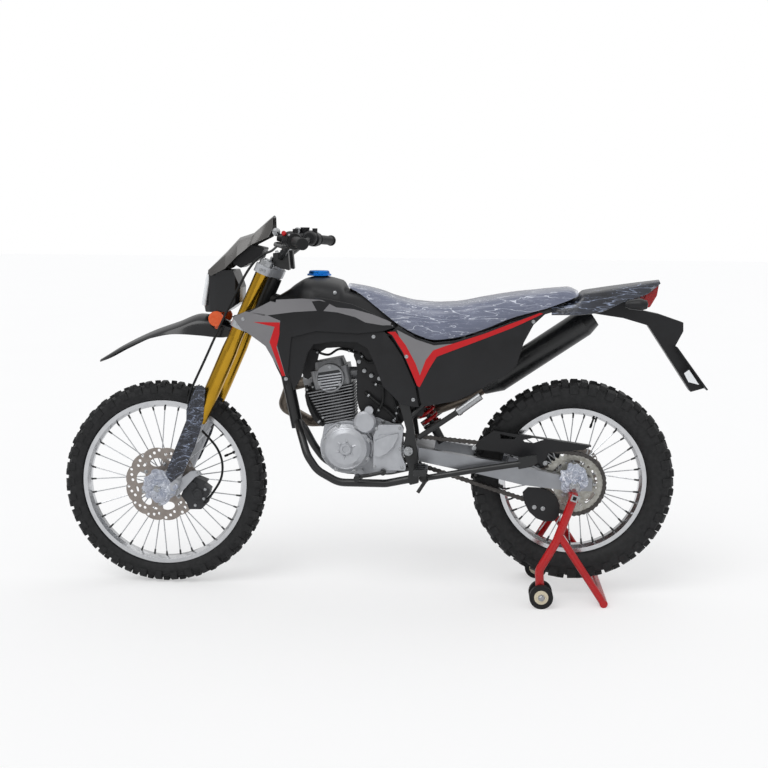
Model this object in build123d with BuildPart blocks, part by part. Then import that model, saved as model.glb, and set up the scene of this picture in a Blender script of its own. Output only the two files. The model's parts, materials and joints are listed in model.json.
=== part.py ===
from build123d import *
import os
from math import atan2, cos, hypot, pi, radians, sin, tan

# Dual sport motorcycle held upright on its paddock stand.
# Frame: +X towards the tail, +Y towards the rider's right, +Z up, millimetres.
# The origin is on the floor, under the middle of the machine's overall box.

# ---------------------------------------------------------------- driving dimensions
half_length = 1070  # tip of the front tyre, and of the number plate, from the origin
front_tyre_r = 346
front_axle = (-half_length + front_tyre_r, 0, front_tyre_r)
wheelbase = 1370
rear_tyre_r = 336
rear_lift = 48  # the paddock stand holds the rear tyre this far off the floor
rear_axle = (front_axle[0] + wheelbase, 0, rear_tyre_r + rear_lift)

rake = 23.5
steer_point = (-464.3, 0, 785.9)  # a point on the steering axis, above the tyre
leg_offset = 26  # fork legs ahead of the steering axis
leg_spread = 100  # fork legs beside the centre line
leg_r = 23  # outer fork tubes where the clamps hold them
slider_r = 20
stem_r = 15
running = 0.05  # radial clearance of a turning fit

pivot = (107, 0, 490)  # swingarm pivot
chain_y = -74
chain_pitch = 15.875
engine_lean = 12
cylinder_base = (-124, 0, 572)

grip_end_y = 382
axle_r = 10

os.makedirs("parts", exist_ok=True)

# Local frame of the fork: x rearwards, y to the right, z up the steering axis.
fork_plane = Plane(
    origin=steer_point,
    x_dir=(cos(radians(rake)), 0, -sin(radians(rake))),
    z_dir=(sin(radians(rake)), 0, cos(radians(rake))),
)
# Local frame of the cylinder: x rearwards, y to the right, z up the bore.
cylinder_plane = Plane(
    origin=cylinder_base,
    x_dir=(cos(radians(engine_lean)), 0, sin(radians(engine_lean))),
    z_dir=(-sin(radians(engine_lean)), 0, cos(radians(engine_lean))),
)


# ---------------------------------------------------------------- helpers
def save(part, name):
    """Label a finished piece and write it as one file."""
    part.label = name
    export_step(part, f"parts/{name}.step")
    print(f"{name:22s} {part.volume / 1000:10.1f} cm3")


def add_tube(points, bend, diameter, mode=Mode.ADD):
    """Add a round tube to the open part, bent to one radius at each inner point."""
    with BuildLine() as path:
        if len(points) == 2:
            Line(*points)
        else:
            FilletPolyline(*points, radius=bend)
    with BuildSketch(Plane(origin=path.line @ 0, z_dir=path.line % 0)) as section:
        Circle(diameter / 2)
    sweep(section.sketch, path=path.line, mode=mode)


def add_plate(outline, y_low, y_high, corner=0, mode=Mode.ADD):
    """Extrude a side outline, given as (X, Z) points, from y_low to y_high."""
    with BuildSketch(Plane.XZ.offset(-y_low)) as face:
        with BuildLine():
            Polyline(*outline, close=True)
        make_face()
        if corner:
            fillet(face.vertices(), corner)
    extrude(face.sketch, amount=y_low - y_high, mode=mode)


def keep_plan(outline, z_low, z_high):
    """Trim the open part to a plan outline, given as (X, Y) points."""
    with BuildSketch(Plane.XY.offset(z_low)) as face:
        with BuildLine():
            Polyline(*outline, close=True)
        make_face()
    extrude(face.sketch, amount=z_high - z_low, mode=Mode.INTERSECT)


def mirrored(half_outline):
    """Close a half outline of (X, Y >= 0) points with its mirror image."""
    return half_outline + [(x, -y) for x, y in reversed(half_outline)]


def add_disc(x, z, r, y_low, y_high, mode=Mode.ADD):
    """Add a cylinder whose axis runs across the machine."""
    with BuildSketch(Plane.XZ.offset(-y_low)) as face:
        with Locations((x, z)):
            Circle(r)
    extrude(face.sketch, amount=y_low - y_high, mode=mode)


def add_revolved(axle, outline, mode=Mode.ADD):
    """Spin an outline of (Y, radius) points about a wheel's axle."""
    with BuildSketch(Plane(origin=axle, x_dir=(0, 1, 0), z_dir=(1, 0, 0))) as face:
        with BuildLine():
            Polyline(*outline, close=True)
        make_face()
    revolve(face.sketch, axis=Axis(axle, (0, 1, 0)), mode=mode)


def add_turned(start, direction, outline, mode=Mode.ADD):
    """Spin an outline of (distance, radius) points about a line through a start point."""
    line_frame = Plane(origin=start, z_dir=direction)
    with BuildSketch(Plane(origin=start, x_dir=line_frame.z_dir, z_dir=line_frame.x_dir)) as face:
        with BuildLine():
            Polyline(*outline, close=True)
        make_face()
    revolve(face.sketch, axis=Axis(start, tuple(line_frame.z_dir)), mode=mode)


def fork_point(along_x, y, height):
    """A point of the fork's own frame, as a point of the machine."""
    return tuple(fork_plane.from_local_coords((along_x, y, height)))


def add_ribbed(stations, wall=0):
    """Loft crowned sections along the machine.

    Each station is (X, half width of the crown's edge, half width at the foot, crown Z, edge Z, foot Z).
    A wall leaves the shape open underneath.
    """
    sections = []
    for x, edge, foot, z_crown, z_edge, z_foot in stations:
        with BuildSketch(Plane.YZ.offset(x)) as section:
            with BuildLine():
                Line((-foot, z_foot), (-edge, z_edge))
                ThreePointArc((-edge, z_edge), (0, z_crown), (edge, z_edge))
                Line((edge, z_edge), (foot, z_foot))
                if wall:
                    Line((foot, z_foot), (foot - wall, z_foot))
                    Line((foot - wall, z_foot), (edge - wall, z_edge - wall / 2))
                    ThreePointArc((edge - wall, z_edge - wall / 2), (0, z_crown - wall),
                                  (wall - edge, z_edge - wall / 2))
                    Line((wall - edge, z_edge - wall / 2), (wall - foot, z_foot))
                    Line((wall - foot, z_foot), (-foot, z_foot))
                else:
                    Line((foot, z_foot), (-foot, z_foot))
            make_face()
        sections.append(section.sketch)
    loft(sections, ruled=True)


# ---------------------------------------------------------------- main frame
head_low = 130
head_high = 280
cradle_d = 26
# (X, Z) outline of the plates that carry the swingarm pivot and the footpegs
pivot_plate = [
    (70, 660), (104, 660), (118, 600), (131, 520), (141, 440), (142, 384),
    (112, 376), (106, 400), (110, 430), (92, 478), (92, 500), (99, 560), (88, 600),
]
plate_y = (100, 122)

with BuildPart() as main_frame:
    with BuildSketch(fork_plane.offset(head_low)) as head_tube:
        Circle(28)
    extrude(head_tube.sketch, amount=head_high - head_low)
    add_tube([(-362, 0, 972), (-210, 0, 930), (-10, 0, 878)], 200, 42)
    add_tube([(-352, 0, 921), (-273, 0, 541)], 0, 40)
    add_plate([(-344, 910), (-338, 962), (-240, 936), (-316, 780)], -6, 6)
    for side in (-1, 1):
        add_tube([(-275, 0, 568), (-256, side * 50, 530), (-229, side * 92, 463), (-194, side * 100, 414),
                  (-123, side * 103, 376), (33, side * 103, 376), (122, side * 108, 396)], 85, cradle_d)
        add_tube([(-70, 0, 893), (-10, side * 40, 862), (50, side * 84, 790), (88, side * 111, 640)], 40, 30)
        inner, outer = (side * y for y in plate_y)
        add_plate(pivot_plate, min(inner, outer), max(inner, outer), corner=5)
        add_tube([(-30, side * 40, 872), (90, side * 76, 862), (330, side * 76, 884), (600, side * 66, 966)],
                 60, 22)
        add_tube([(112, side * 111, 600), (430, side * 76, 912)], 0, 20)
    add_tube([(-60, -103, 376), (-60, 103, 376)], 0, 20)
    add_tube([(124, -110, 396), (124, 110, 396)], 0, 22)
    add_tube([(600, -66, 966), (600, 66, 966)], 0, 22)
    with BuildSketch(fork_plane.offset(head_low - 5)) as head_bore:
        Circle(stem_r + running)
    extrude(head_bore.sketch, amount=head_high - head_low + 10, mode=Mode.SUBTRACT)
    add_disc(pivot[0], pivot[2], axle_r, -130, 130, mode=Mode.SUBTRACT)
save(main_frame.part, "main_frame")

# ---------------------------------------------------------------- engine
case_outline = [
    (-176, 560.8), (-186, 500), (-165, 432), (-118, 402), (-20, 396), (62, 404),
    (86, 440), (80, 520), (58, 566), (0, 588), (-66, 584.2),
]
left_cover = (-99, 490)
left_cover_r = 82
starter = (-38, 576)
starter_r = 37

with BuildPart() as crankcase:
    add_plate(case_outline, -58, 70, corner=8)
    add_disc(*left_cover, left_cover_r + 6, -78, -50)
    add_disc(*starter, 34, -84, -20)
    add_disc(-50, 482, 92, 60, 112)
    add_disc(-59, 404, 16, -72, -40)
save(crankcase.part, "crankcase")

with BuildPart() as generator_cover:
    add_revolved((left_cover[0], 0, left_cover[1]),
                 [(-78, 0), (-78, left_cover_r), (-96, left_cover_r - 2), (-108, left_cover_r - 16),
                  (-114, left_cover_r - 30), (-114, 22), (-118, 20), (-118, 0)])
    add_disc(*starter, starter_r + 1.5, -125, -70, mode=Mode.SUBTRACT)
save(generator_cover.part, "generator_cover")

sprocket_cover_outline = [
    (-8, 424), (-8, 536), (8, 572), (82, 574), (90, 560), (84, 512), (84, 474), (98, 440), (98, 422),
]
with BuildPart() as sprocket_cover:
    add_plate(sprocket_cover_outline, -114, -88, corner=6)
    add_plate([(8, 470), (10, 540), (70, 540), (56, 492)], -120, -114, corner=5)
save(sprocket_cover.part, "sprocket_cover")

with BuildPart() as starter_motor:
    add_revolved((starter[0], 0, starter[1]),
                 [(-84, 0), (-84, starter_r), (-96, starter_r), (-102, 30), (-102, 0)])
    add_disc(-25, 616, 14, -98, -84)
save(starter_motor.part, "starter_motor")

fin_count = 12
fin_pitch = 9.8
cam_boss = (-155, 719)
cam_boss_r = 46
with BuildPart() as cylinder:
    with BuildSketch(cylinder_plane) as barrel:
        Circle(46)
    extrude(barrel.sketch, amount=fin_count * fin_pitch)
    for i in range(fin_count):
        reach = i / (fin_count - 1)
        with BuildSketch(cylinder_plane.offset(4 + i * fin_pitch)) as fin:
            with Locations((-8 * reach, 0)):
                RectangleRounded(106 + 52 * reach, 132 + 20 * reach, 12)
        extrude(fin.sketch, amount=3.4)
    add_disc(*cam_boss, cam_boss_r + 1, -90, -50, mode=Mode.SUBTRACT)
save(cylinder.part, "cylinder")

head_z = fin_count * fin_pitch
with BuildPart() as cylinder_head:
    with BuildSketch(cylinder_plane.offset(head_z)) as head_block:
        RectangleRounded(126, 120, 14)
    extrude(head_block.sketch, amount=62)
    with BuildSketch(cylinder_plane.offset(head_z + 62)) as cam_cover:
        RectangleRounded(104, 104, 20)
    extrude(cam_cover.sketch, amount=26, taper=12)
    add_disc(*cam_boss, cam_boss_r, -88, -50)
    add_tube([(-215, 30, 700), (-252, 34, 690)], 0, 50)
    add_tube([(-104, 0, 728), (-66, 0, 728)], 0, 42)
save(cylinder_head.part, "cylinder_head")

with BuildPart() as intake:
    add_tube([(-66, 0, 728), (-6, 0, 728)], 0, 46)
    add_tube([(-10, 0, 728), (28, 38, 730), (70, 54, 732), (152, 54, 736)], 20, 38)
    # the carburettor: float bowl, body and slide chamber
    add_turned((-30, 0, 672), (0, 0, 1), [
        (0, 0), (0, 20), (14, 25), (32, 25), (36, 29), (92, 29), (96, 24), (116, 24), (120, 18), (120, 0)])
    add_plate([(150, 700), (150, 852), (288, 852), (288, 740), (262, 700)], -66, 66, corner=12)
save(intake.part, "intake")

# ---------------------------------------------------------------- exhaust
header_points = [
    (-252, 34, 690), (-304, 39.6, 676), (-334, 76, 600), (-250, 134, 540), (-60, 146, 548),
    (126, 146, 572), (196, 112, 596), (304, 118, 638.5), (345, 118, 666.6),
]
muffler_tilt = 34.4
muffler_start = (345, 118, 666.6)
muffler_length = 445
muffler_r = 46
muffler_plane = Plane(
    origin=muffler_start,
    x_dir=(0, 1, 0),
    z_dir=(cos(radians(muffler_tilt)), 0, sin(radians(muffler_tilt))),
)
with BuildPart() as exhaust_header:
    add_tube(header_points, 34, 38)
save(exhaust_header.part, "exhaust_header")

with BuildPart() as silencer:
    # half of the section, with distance along the axis and then radius
    with BuildSketch(Plane(origin=muffler_start, x_dir=muffler_plane.z_dir, z_dir=(0, -1, 0))) as wall:
        with BuildLine():
            Polyline((0, 0), (0, 22), (60, muffler_r), (muffler_length - 40, muffler_r), (muffler_length, 34),
                     (muffler_length, 20), (muffler_length - 50, 20), (muffler_length - 50, 0), close=True)
        make_face()
    revolve(wall.sketch, axis=Axis(muffler_start, tuple(muffler_plane.z_dir)))
save(silencer.part, "silencer")

# ---------------------------------------------------------------- tank, seat and panels
# (X, half width at the crown's edge, half width at the foot, crown Z, edge Z, foot Z)
tank_stations = [
    (-352, 34, 40, 974, 966, 930), (-300, 50, 58, 1006, 992, 905), (-278, 66, 80, 1024, 1004, 905),
    (-240, 96, 118, 1042, 1012, 905), (-200, 106, 130, 1050, 1016, 905), (-119, 104, 130, 1036, 1006, 905),
    (-104, 100, 128, 1008, 988, 905), (-60, 94, 122, 982, 966, 905), (20, 84, 104, 923, 914, 900),
    (60, 80, 94, 896, 894, 890),
]
with BuildPart() as fuel_tank:
    add_ribbed(tank_stations)
    add_plate([(-370, 700), (-370, 1000), (-200, 958), (80, 905), (80, 700)], -27, 27, mode=Mode.SUBTRACT)
save(fuel_tank.part, "fuel_tank")

cap_centre = (-201, 0, 1046)
with BuildPart() as fuel_cap:
    add_turned(cap_centre, (0, 0, 1), [(4.5, 0), (4.5, 40), (9, 40), (11, 35), (19, 33), (21, 30), (21, 0)])
save(fuel_cap.part, "fuel_cap")

# (X, half width at the crown's edge, half width at the foot, crown Z, edge Z, foot Z)
seat_stations = [
    (-100, 50, 58, 1024, 1018, 1014), (-60, 58, 72, 1019, 1008, 994), (0, 68, 90, 1006, 992, 950),
    (62, 78, 100, 985, 970, 904), (130, 92, 112, 971, 954, 868), (185, 104, 118, 967, 950, 853),
    (256, 110, 122, 970, 953, 862), (345, 108, 120, 987, 970, 890), (433, 100, 112, 1002, 986, 926),
    (551, 88, 100, 1016, 1001, 960), (617, 76, 88, 1021, 1010, 984), (645, 64, 74, 1010, 1004, 996),
]
with BuildPart() as seat:
    add_ribbed(seat_stations)
    add_plate([(-60, 800), (-60, 884), (90, 884), (330, 902), (600, 984), (660, 984), (660, 800)], -90, 90,
              mode=Mode.SUBTRACT)
save(seat.part, "seat")

wing_outline = [
    (-455, 926), (-365, 959), (-276, 983), (-174, 986), (-75, 966), (5, 930), (60, 891), (20, 880),
    (-60, 872), (-190, 880), (-268, 860), (-283, 694), (-292, 718), (-314, 762), (-330, 800),
    (-345, 829), (-387, 861), (-425, 887),
]
# (X, Y) line of the shroud's outer face, front to rear
wing_plan = [(-470, 205), (-360, 198), (-270, 184), (-180, 168), (-80, 152), (70, 128)]
wing_wall = 6
lower_outline = [
    (-278, 850), (-278, 748), (-262, 688), (-238, 728), (-218, 808), (-199, 837), (-140, 846),
    (-62, 844), (-28, 824), (-3, 770), (22, 701), (56, 671), (81, 645), (121, 636), (140, 636),
    (128, 705), (85, 800), (56, 842), (26, 878), (-60, 892), (-190, 900), (-262, 880),
]
cover_outline = [
    (540, 944), (501, 908), (471, 851), (450, 779), (420, 747), (367, 718), (313, 685), (259, 660),
    (161, 640), (146, 650), (134, 710), (90, 802), (62, 848), (44, 876), (70, 897), (128, 862),
    (185, 846), (256, 855), (345, 883), (433, 918),
]
cover_plan = [(20, 138), (140, 142), (300, 152), (470, 152), (560, 128)]


def side_panels(outline, plan, wall, z_low, z_high):
    """Left and right panels cut from a curved wall: side outline crossed with a plan band."""
    band = plan + [(x, y - wall) for x, y in reversed(plan)]
    with BuildPart() as panel:
        add_plate(outline, 90, 230)
        keep_plan(band, z_low, z_high)
        mirror(about=Plane.XZ)
    return panel.part


shroud_wings = side_panels(wing_outline, wing_plan, wing_wall, 650, 1010)
save(shroud_wings, "shroud_wings")
lower_plan = [(-290, 180.5), (-270, 177), (-180, 161), (-80, 145), (20, 129), (70, 140), (150, 132)]
lower_shrouds = side_panels(lower_outline, lower_plan, wing_wall, 600, 900)
save(lower_shrouds, "lower_shrouds")
with BuildPart() as side_covers:
    add(side_panels(cover_outline, cover_plan, wing_wall, 600, 1000))
    muffler_end = Vector(*muffler_start) + muffler_plane.z_dir * muffler_length
    add_tube([muffler_start, muffler_end], 0, 2 * muffler_r + 16, mode=Mode.SUBTRACT)
save(side_covers.part, "side_covers")

# (X, half width at the crown's edge, half width at the foot, crown Z, edge Z, foot Z)
cowl_stations = [
    (560, 80, 98, 971, 962, 938), (640, 80, 96, 986, 978, 938), (664, 74, 94, 1013, 1001, 940),
    (704, 70, 90, 1021, 1006, 945), (800, 54, 72, 1036, 1021, 984), (866, 40, 54, 1045, 1034, 1005),
    (908, 30, 40, 1050, 1045, 1041),
]
with BuildPart() as tail_cowl:
    add_ribbed(cowl_stations, wall=4)
    for side in (-1, 1):
        add_tube([(500, side * 66, 936), (606, side * 66, 968)], 0, 26, mode=Mode.SUBTRACT)
    add_tube([(600, -69, 966), (600, 69, 966)], 0, 26, mode=Mode.SUBTRACT)
save(tail_cowl.part, "tail_cowl")

with BuildPart() as tail_light:
    add_plate([(906, 1040), (866, 1003), (848, 957), (879, 962), (900, 1000)], -34, 34, corner=3)
    add_plate([(852, 1000), (866, 1003), (848, 957), (838, 962)], -26, 26)
save(tail_light.part, "tail_light")

plate_arm = [
    (611.5, 955), (611.5, 970), (704, 958), (800, 980), (846, 952), (912, 939), (989, 913), (990, 885),
    (966, 836), (1064, 700), (1021, 687), (876, 902), (795, 925), (704, 938),
]
plate_top = (968, 836)  # in (X, Z), of the flat that carries the number plate
plate_foot = (half_length, 700)
plate_wall = 5
plate_hole_r = 3.3
plate_hole_y = 45
with BuildPart() as plate_bracket:
    add_plate(plate_arm, -26, 26)
    down_face = (Vector(*plate_foot) - Vector(*plate_top)).normalized()
    inwards = Vector(down_face.Y, -down_face.X) * plate_wall
    back_foot, back_top = (Vector(*corner) + inwards for corner in (plate_foot, plate_top))
    add_plate([plate_top, plate_foot, (back_foot.X, back_foot.Y), (back_top.X, back_top.Y)], -62, 62)
    hole_at = Vector(*plate_top) + down_face * 25
    for side in (-1, 1):
        add_turned((hole_at.X, side * plate_hole_y, hole_at.Y), (-down_face.Y, 0, down_face.X),
                   [(-10, 0), (-10, plate_hole_r), (10, plate_hole_r), (10, 0)], mode=Mode.SUBTRACT)
save(plate_bracket.part, "plate_bracket")

with BuildPart() as rear_indicators:
    for side in (-1, 1):
        add_tube([(806, side * 72.5, 984), (812, side * 112, 976)], 0, 12)
        add_turned((790, side * 118, 975), (1, 0, 0),
                   [(0, 0), (0, 8), (14, 15), (44, 19), (50, 19), (68, 13), (72, 0)])
save(rear_indicators.part, "rear_indicators")

# ---------------------------------------------------------------- swingarm and rear suspension
arm_outline = [
    (140, 500), (405, 458), (630, 413), (700, 412), (704, 404), (704, 368), (628, 368), (478, 384),
    (334, 417), (140, 455),
]
arm_y = (88, 114)
with BuildPart() as swingarm:
    for side in (-1, 1):
        inner, outer = (side * y for y in arm_y)
        add_plate(arm_outline, min(inner, outer), max(inner, outer), corner=2)
        near, far = sorted((side * 80, side * 98))
        add_plate([(92, 508), (150, 498), (150, 456), (92, 468)], near, far)
    add_disc(pivot[0], pivot[2], 22, -98, 98)
    add_plate([(128, 503), (190, 490), (190, 462), (128, 468)], -92, 92)
    add_disc(pivot[0], pivot[2], axle_r + 0.05, -120, 120, mode=Mode.SUBTRACT)
    add_disc(rear_axle[0], rear_axle[2], axle_r + 0.05, -120, 120, mode=Mode.SUBTRACT)
save(swingarm.part, "swingarm")

with BuildPart() as swingarm_pivot:
    add_disc(pivot[0], pivot[2], axle_r - 0.05, -128, 128)
    add_disc(pivot[0], pivot[2], 14, -132, -122.5)
    add_disc(pivot[0], pivot[2], 14, 122.5, 132)
save(swingarm_pivot.part, "swingarm_pivot")

with BuildPart() as rear_axle_bolt:
    add_disc(rear_axle[0], rear_axle[2], axle_r, -130, 130)
    add_disc(rear_axle[0], rear_axle[2], 15, -132, -114.5)
    add_disc(rear_axle[0], rear_axle[2], 15, 114.5, 132)
save(rear_axle_bolt.part, "rear_axle")

shock_top = (52, 0, 800)
shock_low = (214, 0, 500)
spring_top = 60  # distance from the shock's upper end to its coil spring
coil_count = 9
coil_pitch = 23
with BuildPart() as rear_shock:
    shock_dir = Vector(*shock_low) - Vector(*shock_top)
    shock_plane = Plane(origin=shock_top, z_dir=shock_dir)
    with BuildSketch(shock_plane) as damper:
        Circle(17)
    extrude(damper.sketch, amount=shock_dir.length)
    coils = [(spring_top + i * coil_pitch / 2, 33 if i % 2 else 25) for i in range(2 * coil_count + 1)]
    add_turned(shock_top, shock_dir, [(spring_top, 0), *coils, (coils[-1][0], 0)])
save(rear_shock.part, "rear_shock")

# ---------------------------------------------------------------- chain drive
gearbox_sprocket = (44, 503)
gearbox_sprocket_r = 35.5
rear_sprocket_r = 101
plate_half = 7  # half height of a chain plate
plate_wall = 2
chain_inner = 10  # gap between the two rows of plates


def belt_outline(grow):
    """Closed outline round both sprockets, grown outwards from the pitch line."""
    (x0, z0), r0 = gearbox_sprocket, gearbox_sprocket_r + grow
    x1, z1, r1 = rear_axle[0], rear_axle[2], rear_sprocket_r + grow
    span = hypot(x1 - x0, z1 - z0)
    line = atan2(z1 - z0, x1 - x0)
    lean = atan2(r1 - r0, (span**2 - (r1 - r0) ** 2) ** 0.5)
    upper, lower = line + pi / 2 + lean, line - pi / 2 - lean
    touch = [(x + r * cos(a), z + r * sin(a)) for x, z, r, a in (
        (x0, z0, r0, upper), (x1, z1, r1, upper), (x1, z1, r1, lower), (x0, z0, r0, lower))]
    rear_mid = (x1 + r1 * cos(line), z1 + r1 * sin(line))
    front_mid = (x0 - r0 * cos(line), z0 - r0 * sin(line))
    return touch, rear_mid, front_mid


def add_belt(grow, y_low, y_high, mode=Mode.ADD):
    """Extrude the closed outline round both sprockets."""
    touch, rear_mid, front_mid = belt_outline(grow)
    with BuildSketch(Plane.XZ.offset(-y_low)) as face:
        with BuildLine():
            Line(touch[0], touch[1])
            ThreePointArc(touch[1], rear_mid, touch[2])
            Line(touch[2], touch[3])
            ThreePointArc(touch[3], front_mid, touch[0])
        make_face()
    extrude(face.sketch, amount=y_low - y_high, mode=mode)


with BuildPart() as chain:
    for side in (-1, 1):
        y_inner = chain_y + side * chain_inner / 2
        y_near, y_far = sorted((y_inner, y_inner + side * plate_wall))
        add_belt(plate_half, y_near, y_far)
        add_belt(-plate_half, y_near, y_far, mode=Mode.SUBTRACT)
    touch, rear_mid, front_mid = belt_outline(0)
    with BuildSketch(Plane.XZ.offset(-(chain_y - chain_inner / 2))) as rollers:
        for start, end in ((touch[0], touch[1]), (touch[3], touch[2])):
            run = hypot(end[0] - start[0], end[1] - start[1])
            for i in range(int(run / chain_pitch) - 3):
                along = (i + 0.5) * chain_pitch / run
                pin_x = start[0] + along * (end[0] - start[0])
                pin_z = start[1] + along * (end[1] - start[1])
                with Locations((pin_x, pin_z)):
                    RegularPolygon(5, 4)
    extrude(rollers.sketch, amount=-chain_inner)
save(chain.part, "chain")

with BuildPart() as chain_guards:
    add_plate([(313, 495), (345, 528), (384, 556), (700, 512), (676, 499), (564, 488), (545, 440), (520, 460),
               (400, 486)], -87, -84)
    add_plate([(384, 556), (700, 512), (699, 508), (385, 552)], -84, -60)
    add_plate([(477, 372), (492, 300), (540, 258), (600, 262), (604, 330), (560, 370)], -92, -84)
save(chain_guards.part, "chain_guards")

# ---------------------------------------------------------------- wheels
# name: axle, tyre radius, rim flange radius, rim width, tyre width, hub flange (Y, radius)
wheels = {
    "front": dict(axle=front_axle, tyre_r=front_tyre_r, flange_r=280.5, rim_w=50, tyre_w=84,
                  hub_y=30, hub_r=36, hub_half=62),
    "rear": dict(axle=rear_axle, tyre_r=rear_tyre_r, flange_r=242.5, rim_w=66, tyre_w=112,
                 hub_y=34, hub_r=52, hub_half=66),
}
spoke_count = 36
spoke_r = 2

for name, w in wheels.items():
    axle, half_rim, half_tyre = w["axle"], w["rim_w"] / 2, w["tyre_w"] / 2
    bead_r = w["flange_r"] - 8
    wheel_plane = Plane(origin=axle, x_dir=(1, 0, 0), z_dir=(0, -1, 0))

    with BuildPart() as tyre:
        shoulder_r = w["tyre_r"] - 12
        wall_r = w["flange_r"] + 0.45 * (w["tyre_r"] - w["flange_r"])
        half_tyre_outline = [
            (-half_rim + 5, bead_r), (-half_rim + 5, w["flange_r"]), (-half_tyre + 3, wall_r),
            (-half_tyre, shoulder_r - 8), (-half_tyre * 0.84, shoulder_r + 2),
            (-half_tyre * 0.42, w["tyre_r"]),
        ]
        add_revolved(axle, half_tyre_outline + [(-y, r) for y, r in reversed(half_tyre_outline)])
    save(tyre.part, f"{name}_tyre")

    well_r = bead_r - 14
    with BuildPart() as rim:
        add_revolved(axle, [
            (-half_rim, w["flange_r"]), (-half_rim + 4, w["flange_r"]), (-half_rim + 5, bead_r - 0.2),
            (half_rim - 5, bead_r - 0.2), (half_rim - 4, w["flange_r"]), (half_rim, w["flange_r"]),
            (half_rim, bead_r - 6), (half_rim * 0.4, well_r), (-half_rim * 0.4, well_r),
            (-half_rim, bead_r - 6),
        ])
    save(rim.part, f"{name}_rim")

    # one group of four spokes leans both ways from both hub flanges; nine groups make the wheel
    with BuildPart() as spoke_group:
        pitch = 360 / spoke_count
        for i, (side, lean) in enumerate(((-1, 22), (1, 22), (-1, -22), (1, -22))):
            rim_angle = radians(i * pitch)
            hub_angle = rim_angle + radians(lean)
            head_r = w["hub_r"] - 5
            start = Vector(head_r * cos(hub_angle), head_r * sin(hub_angle), side * w["hub_y"])
            end = Vector((well_r + 0.5) * cos(rim_angle), (well_r + 0.5) * sin(rim_angle), side * 4)
            with BuildSketch(Plane(origin=start, z_dir=end - start)) as spoke:
                RegularPolygon(spoke_r, 5)
            extrude(spoke.sketch, amount=(end - start).length - 1.5)
    with BuildPart() as hub:
        y, r, half = w["hub_y"], w["hub_r"], w["hub_half"]
        add_revolved(axle, [
            (-half, axle_r + running), (-half, 19), (-y - 5, 26), (-y - 4, r), (-y + 3, r), (-y + 6, 24),
            (y - 6, 24), (y - 3, r), (y + 4, r), (y + 5, 26), (half, 19), (half, axle_r + running),
        ])
        with Locations(wheel_plane):
            with PolarLocations(0, spoke_count // 4):
                add(spoke_group.part)
    save(hub.part, f"{name}_hub")

def add_wave_disc(axle, r, lobes, hole_r, window_r, y_low, y_high):
    """Add a brake disc with a wavy rim, a ring of slots and drilled lobes."""
    with BuildSketch(Plane.XZ.offset(-y_low)) as face:
        with Locations((axle[0], axle[2])):
            Circle(r - 7)
            with PolarLocations(r - 25, lobes):
                Circle(25)
            Circle(hole_r, mode=Mode.SUBTRACT)
            with PolarLocations(window_r, 8):
                SlotOverall(34, 20, rotation=90, mode=Mode.SUBTRACT)
            for i, ring in enumerate((r - 10, r - 20)):
                with PolarLocations(ring, lobes, start_angle=i * 180 / lobes):
                    RegularPolygon(4.5, 6, mode=Mode.SUBTRACT)
    extrude(face.sketch, amount=y_low - y_high)


front_disc_r = 126
with BuildPart() as front_disc:
    add_wave_disc(front_axle, front_disc_r, 10, 28, 76, -56, -52)
    add_revolved(front_axle, [(-52, 28), (-52, 46), (-42, 46), (-35.2, 34), (-35.2, 28)])
save(front_disc.part, "front_disc")

rear_disc_r = 110
with BuildPart() as rear_disc:
    add_wave_disc(rear_axle, rear_disc_r, 10, 28, 62, 68, 72)
save(rear_disc.part, "rear_disc")

tooth_count = 40
with BuildPart() as rear_sprocket:
    with BuildSketch(Plane.XZ.offset(-(chain_y - 3))) as teeth:
        with Locations((rear_axle[0], rear_axle[2])):
            Circle(rear_sprocket_r - 4)
            with PolarLocations(rear_sprocket_r - 3, tooth_count):
                Trapezoid(7, 9, 70, rotation=-90)
            with PolarLocations(70, 6):
                Circle(15, mode=Mode.SUBTRACT)
            Circle(28, mode=Mode.SUBTRACT)
    extrude(teeth.sketch, amount=-6)
save(rear_sprocket.part, "rear_sprocket")

with BuildPart() as front_axle_bolt:
    add_disc(front_axle[0], front_axle[2], axle_r, -122, 122)
save(front_axle_bolt.part, "front_axle")

# ---------------------------------------------------------------- fork and steering
outer_low = -247
outer_high = 326
lower_clamp = (92, 125)
upper_clamp = (286, 313)
casting_high = -455  # top of the cast foot of each leg
axle_lug_r = 25

with BuildPart() as fork_tubes:
    for side in (-1, 1):
        add_turned(fork_point(-leg_offset, side * leg_spread, 0), fork_plane.z_dir, [
            (outer_low, 0), (outer_low, 22), (outer_low + 10, 24), (-130, 26), (10, 26), (60, leg_r),
            (outer_high, leg_r), (outer_high + 4, leg_r - 5), (outer_high + 4, 0)])
save(fork_tubes.part, "fork_tubes")

with BuildPart() as fork_sliders:
    for side in (-1, 1):
        add_turned(fork_point(-leg_offset, side * leg_spread, 0), fork_plane.z_dir, [
            (-520, 0), (-520, 18), (-508, 27), (casting_high, 25), (casting_high + 6, slider_r),
            (outer_low, slider_r), (outer_low, 0)])
        near, far = sorted((side * 80, side * 118))
        add_disc(front_axle[0], front_axle[2], axle_lug_r, near, far)
        add_plate([(-738, 366), (-704, 402), (-676, 400), (-668, 340), (-690, 322), (-724, 322)],
                  near + 4, far - 4)
    add_plate([(-710, 340), (-664, 314), (-602, 382), (-580, 392), (-590, 404), (-616, 402), (-664, 366)],
              -101, -93)
    add_disc(front_axle[0], front_axle[2], axle_r + 0.05, -130, 130, mode=Mode.SUBTRACT)
save(fork_sliders.part, "fork_sliders")

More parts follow.
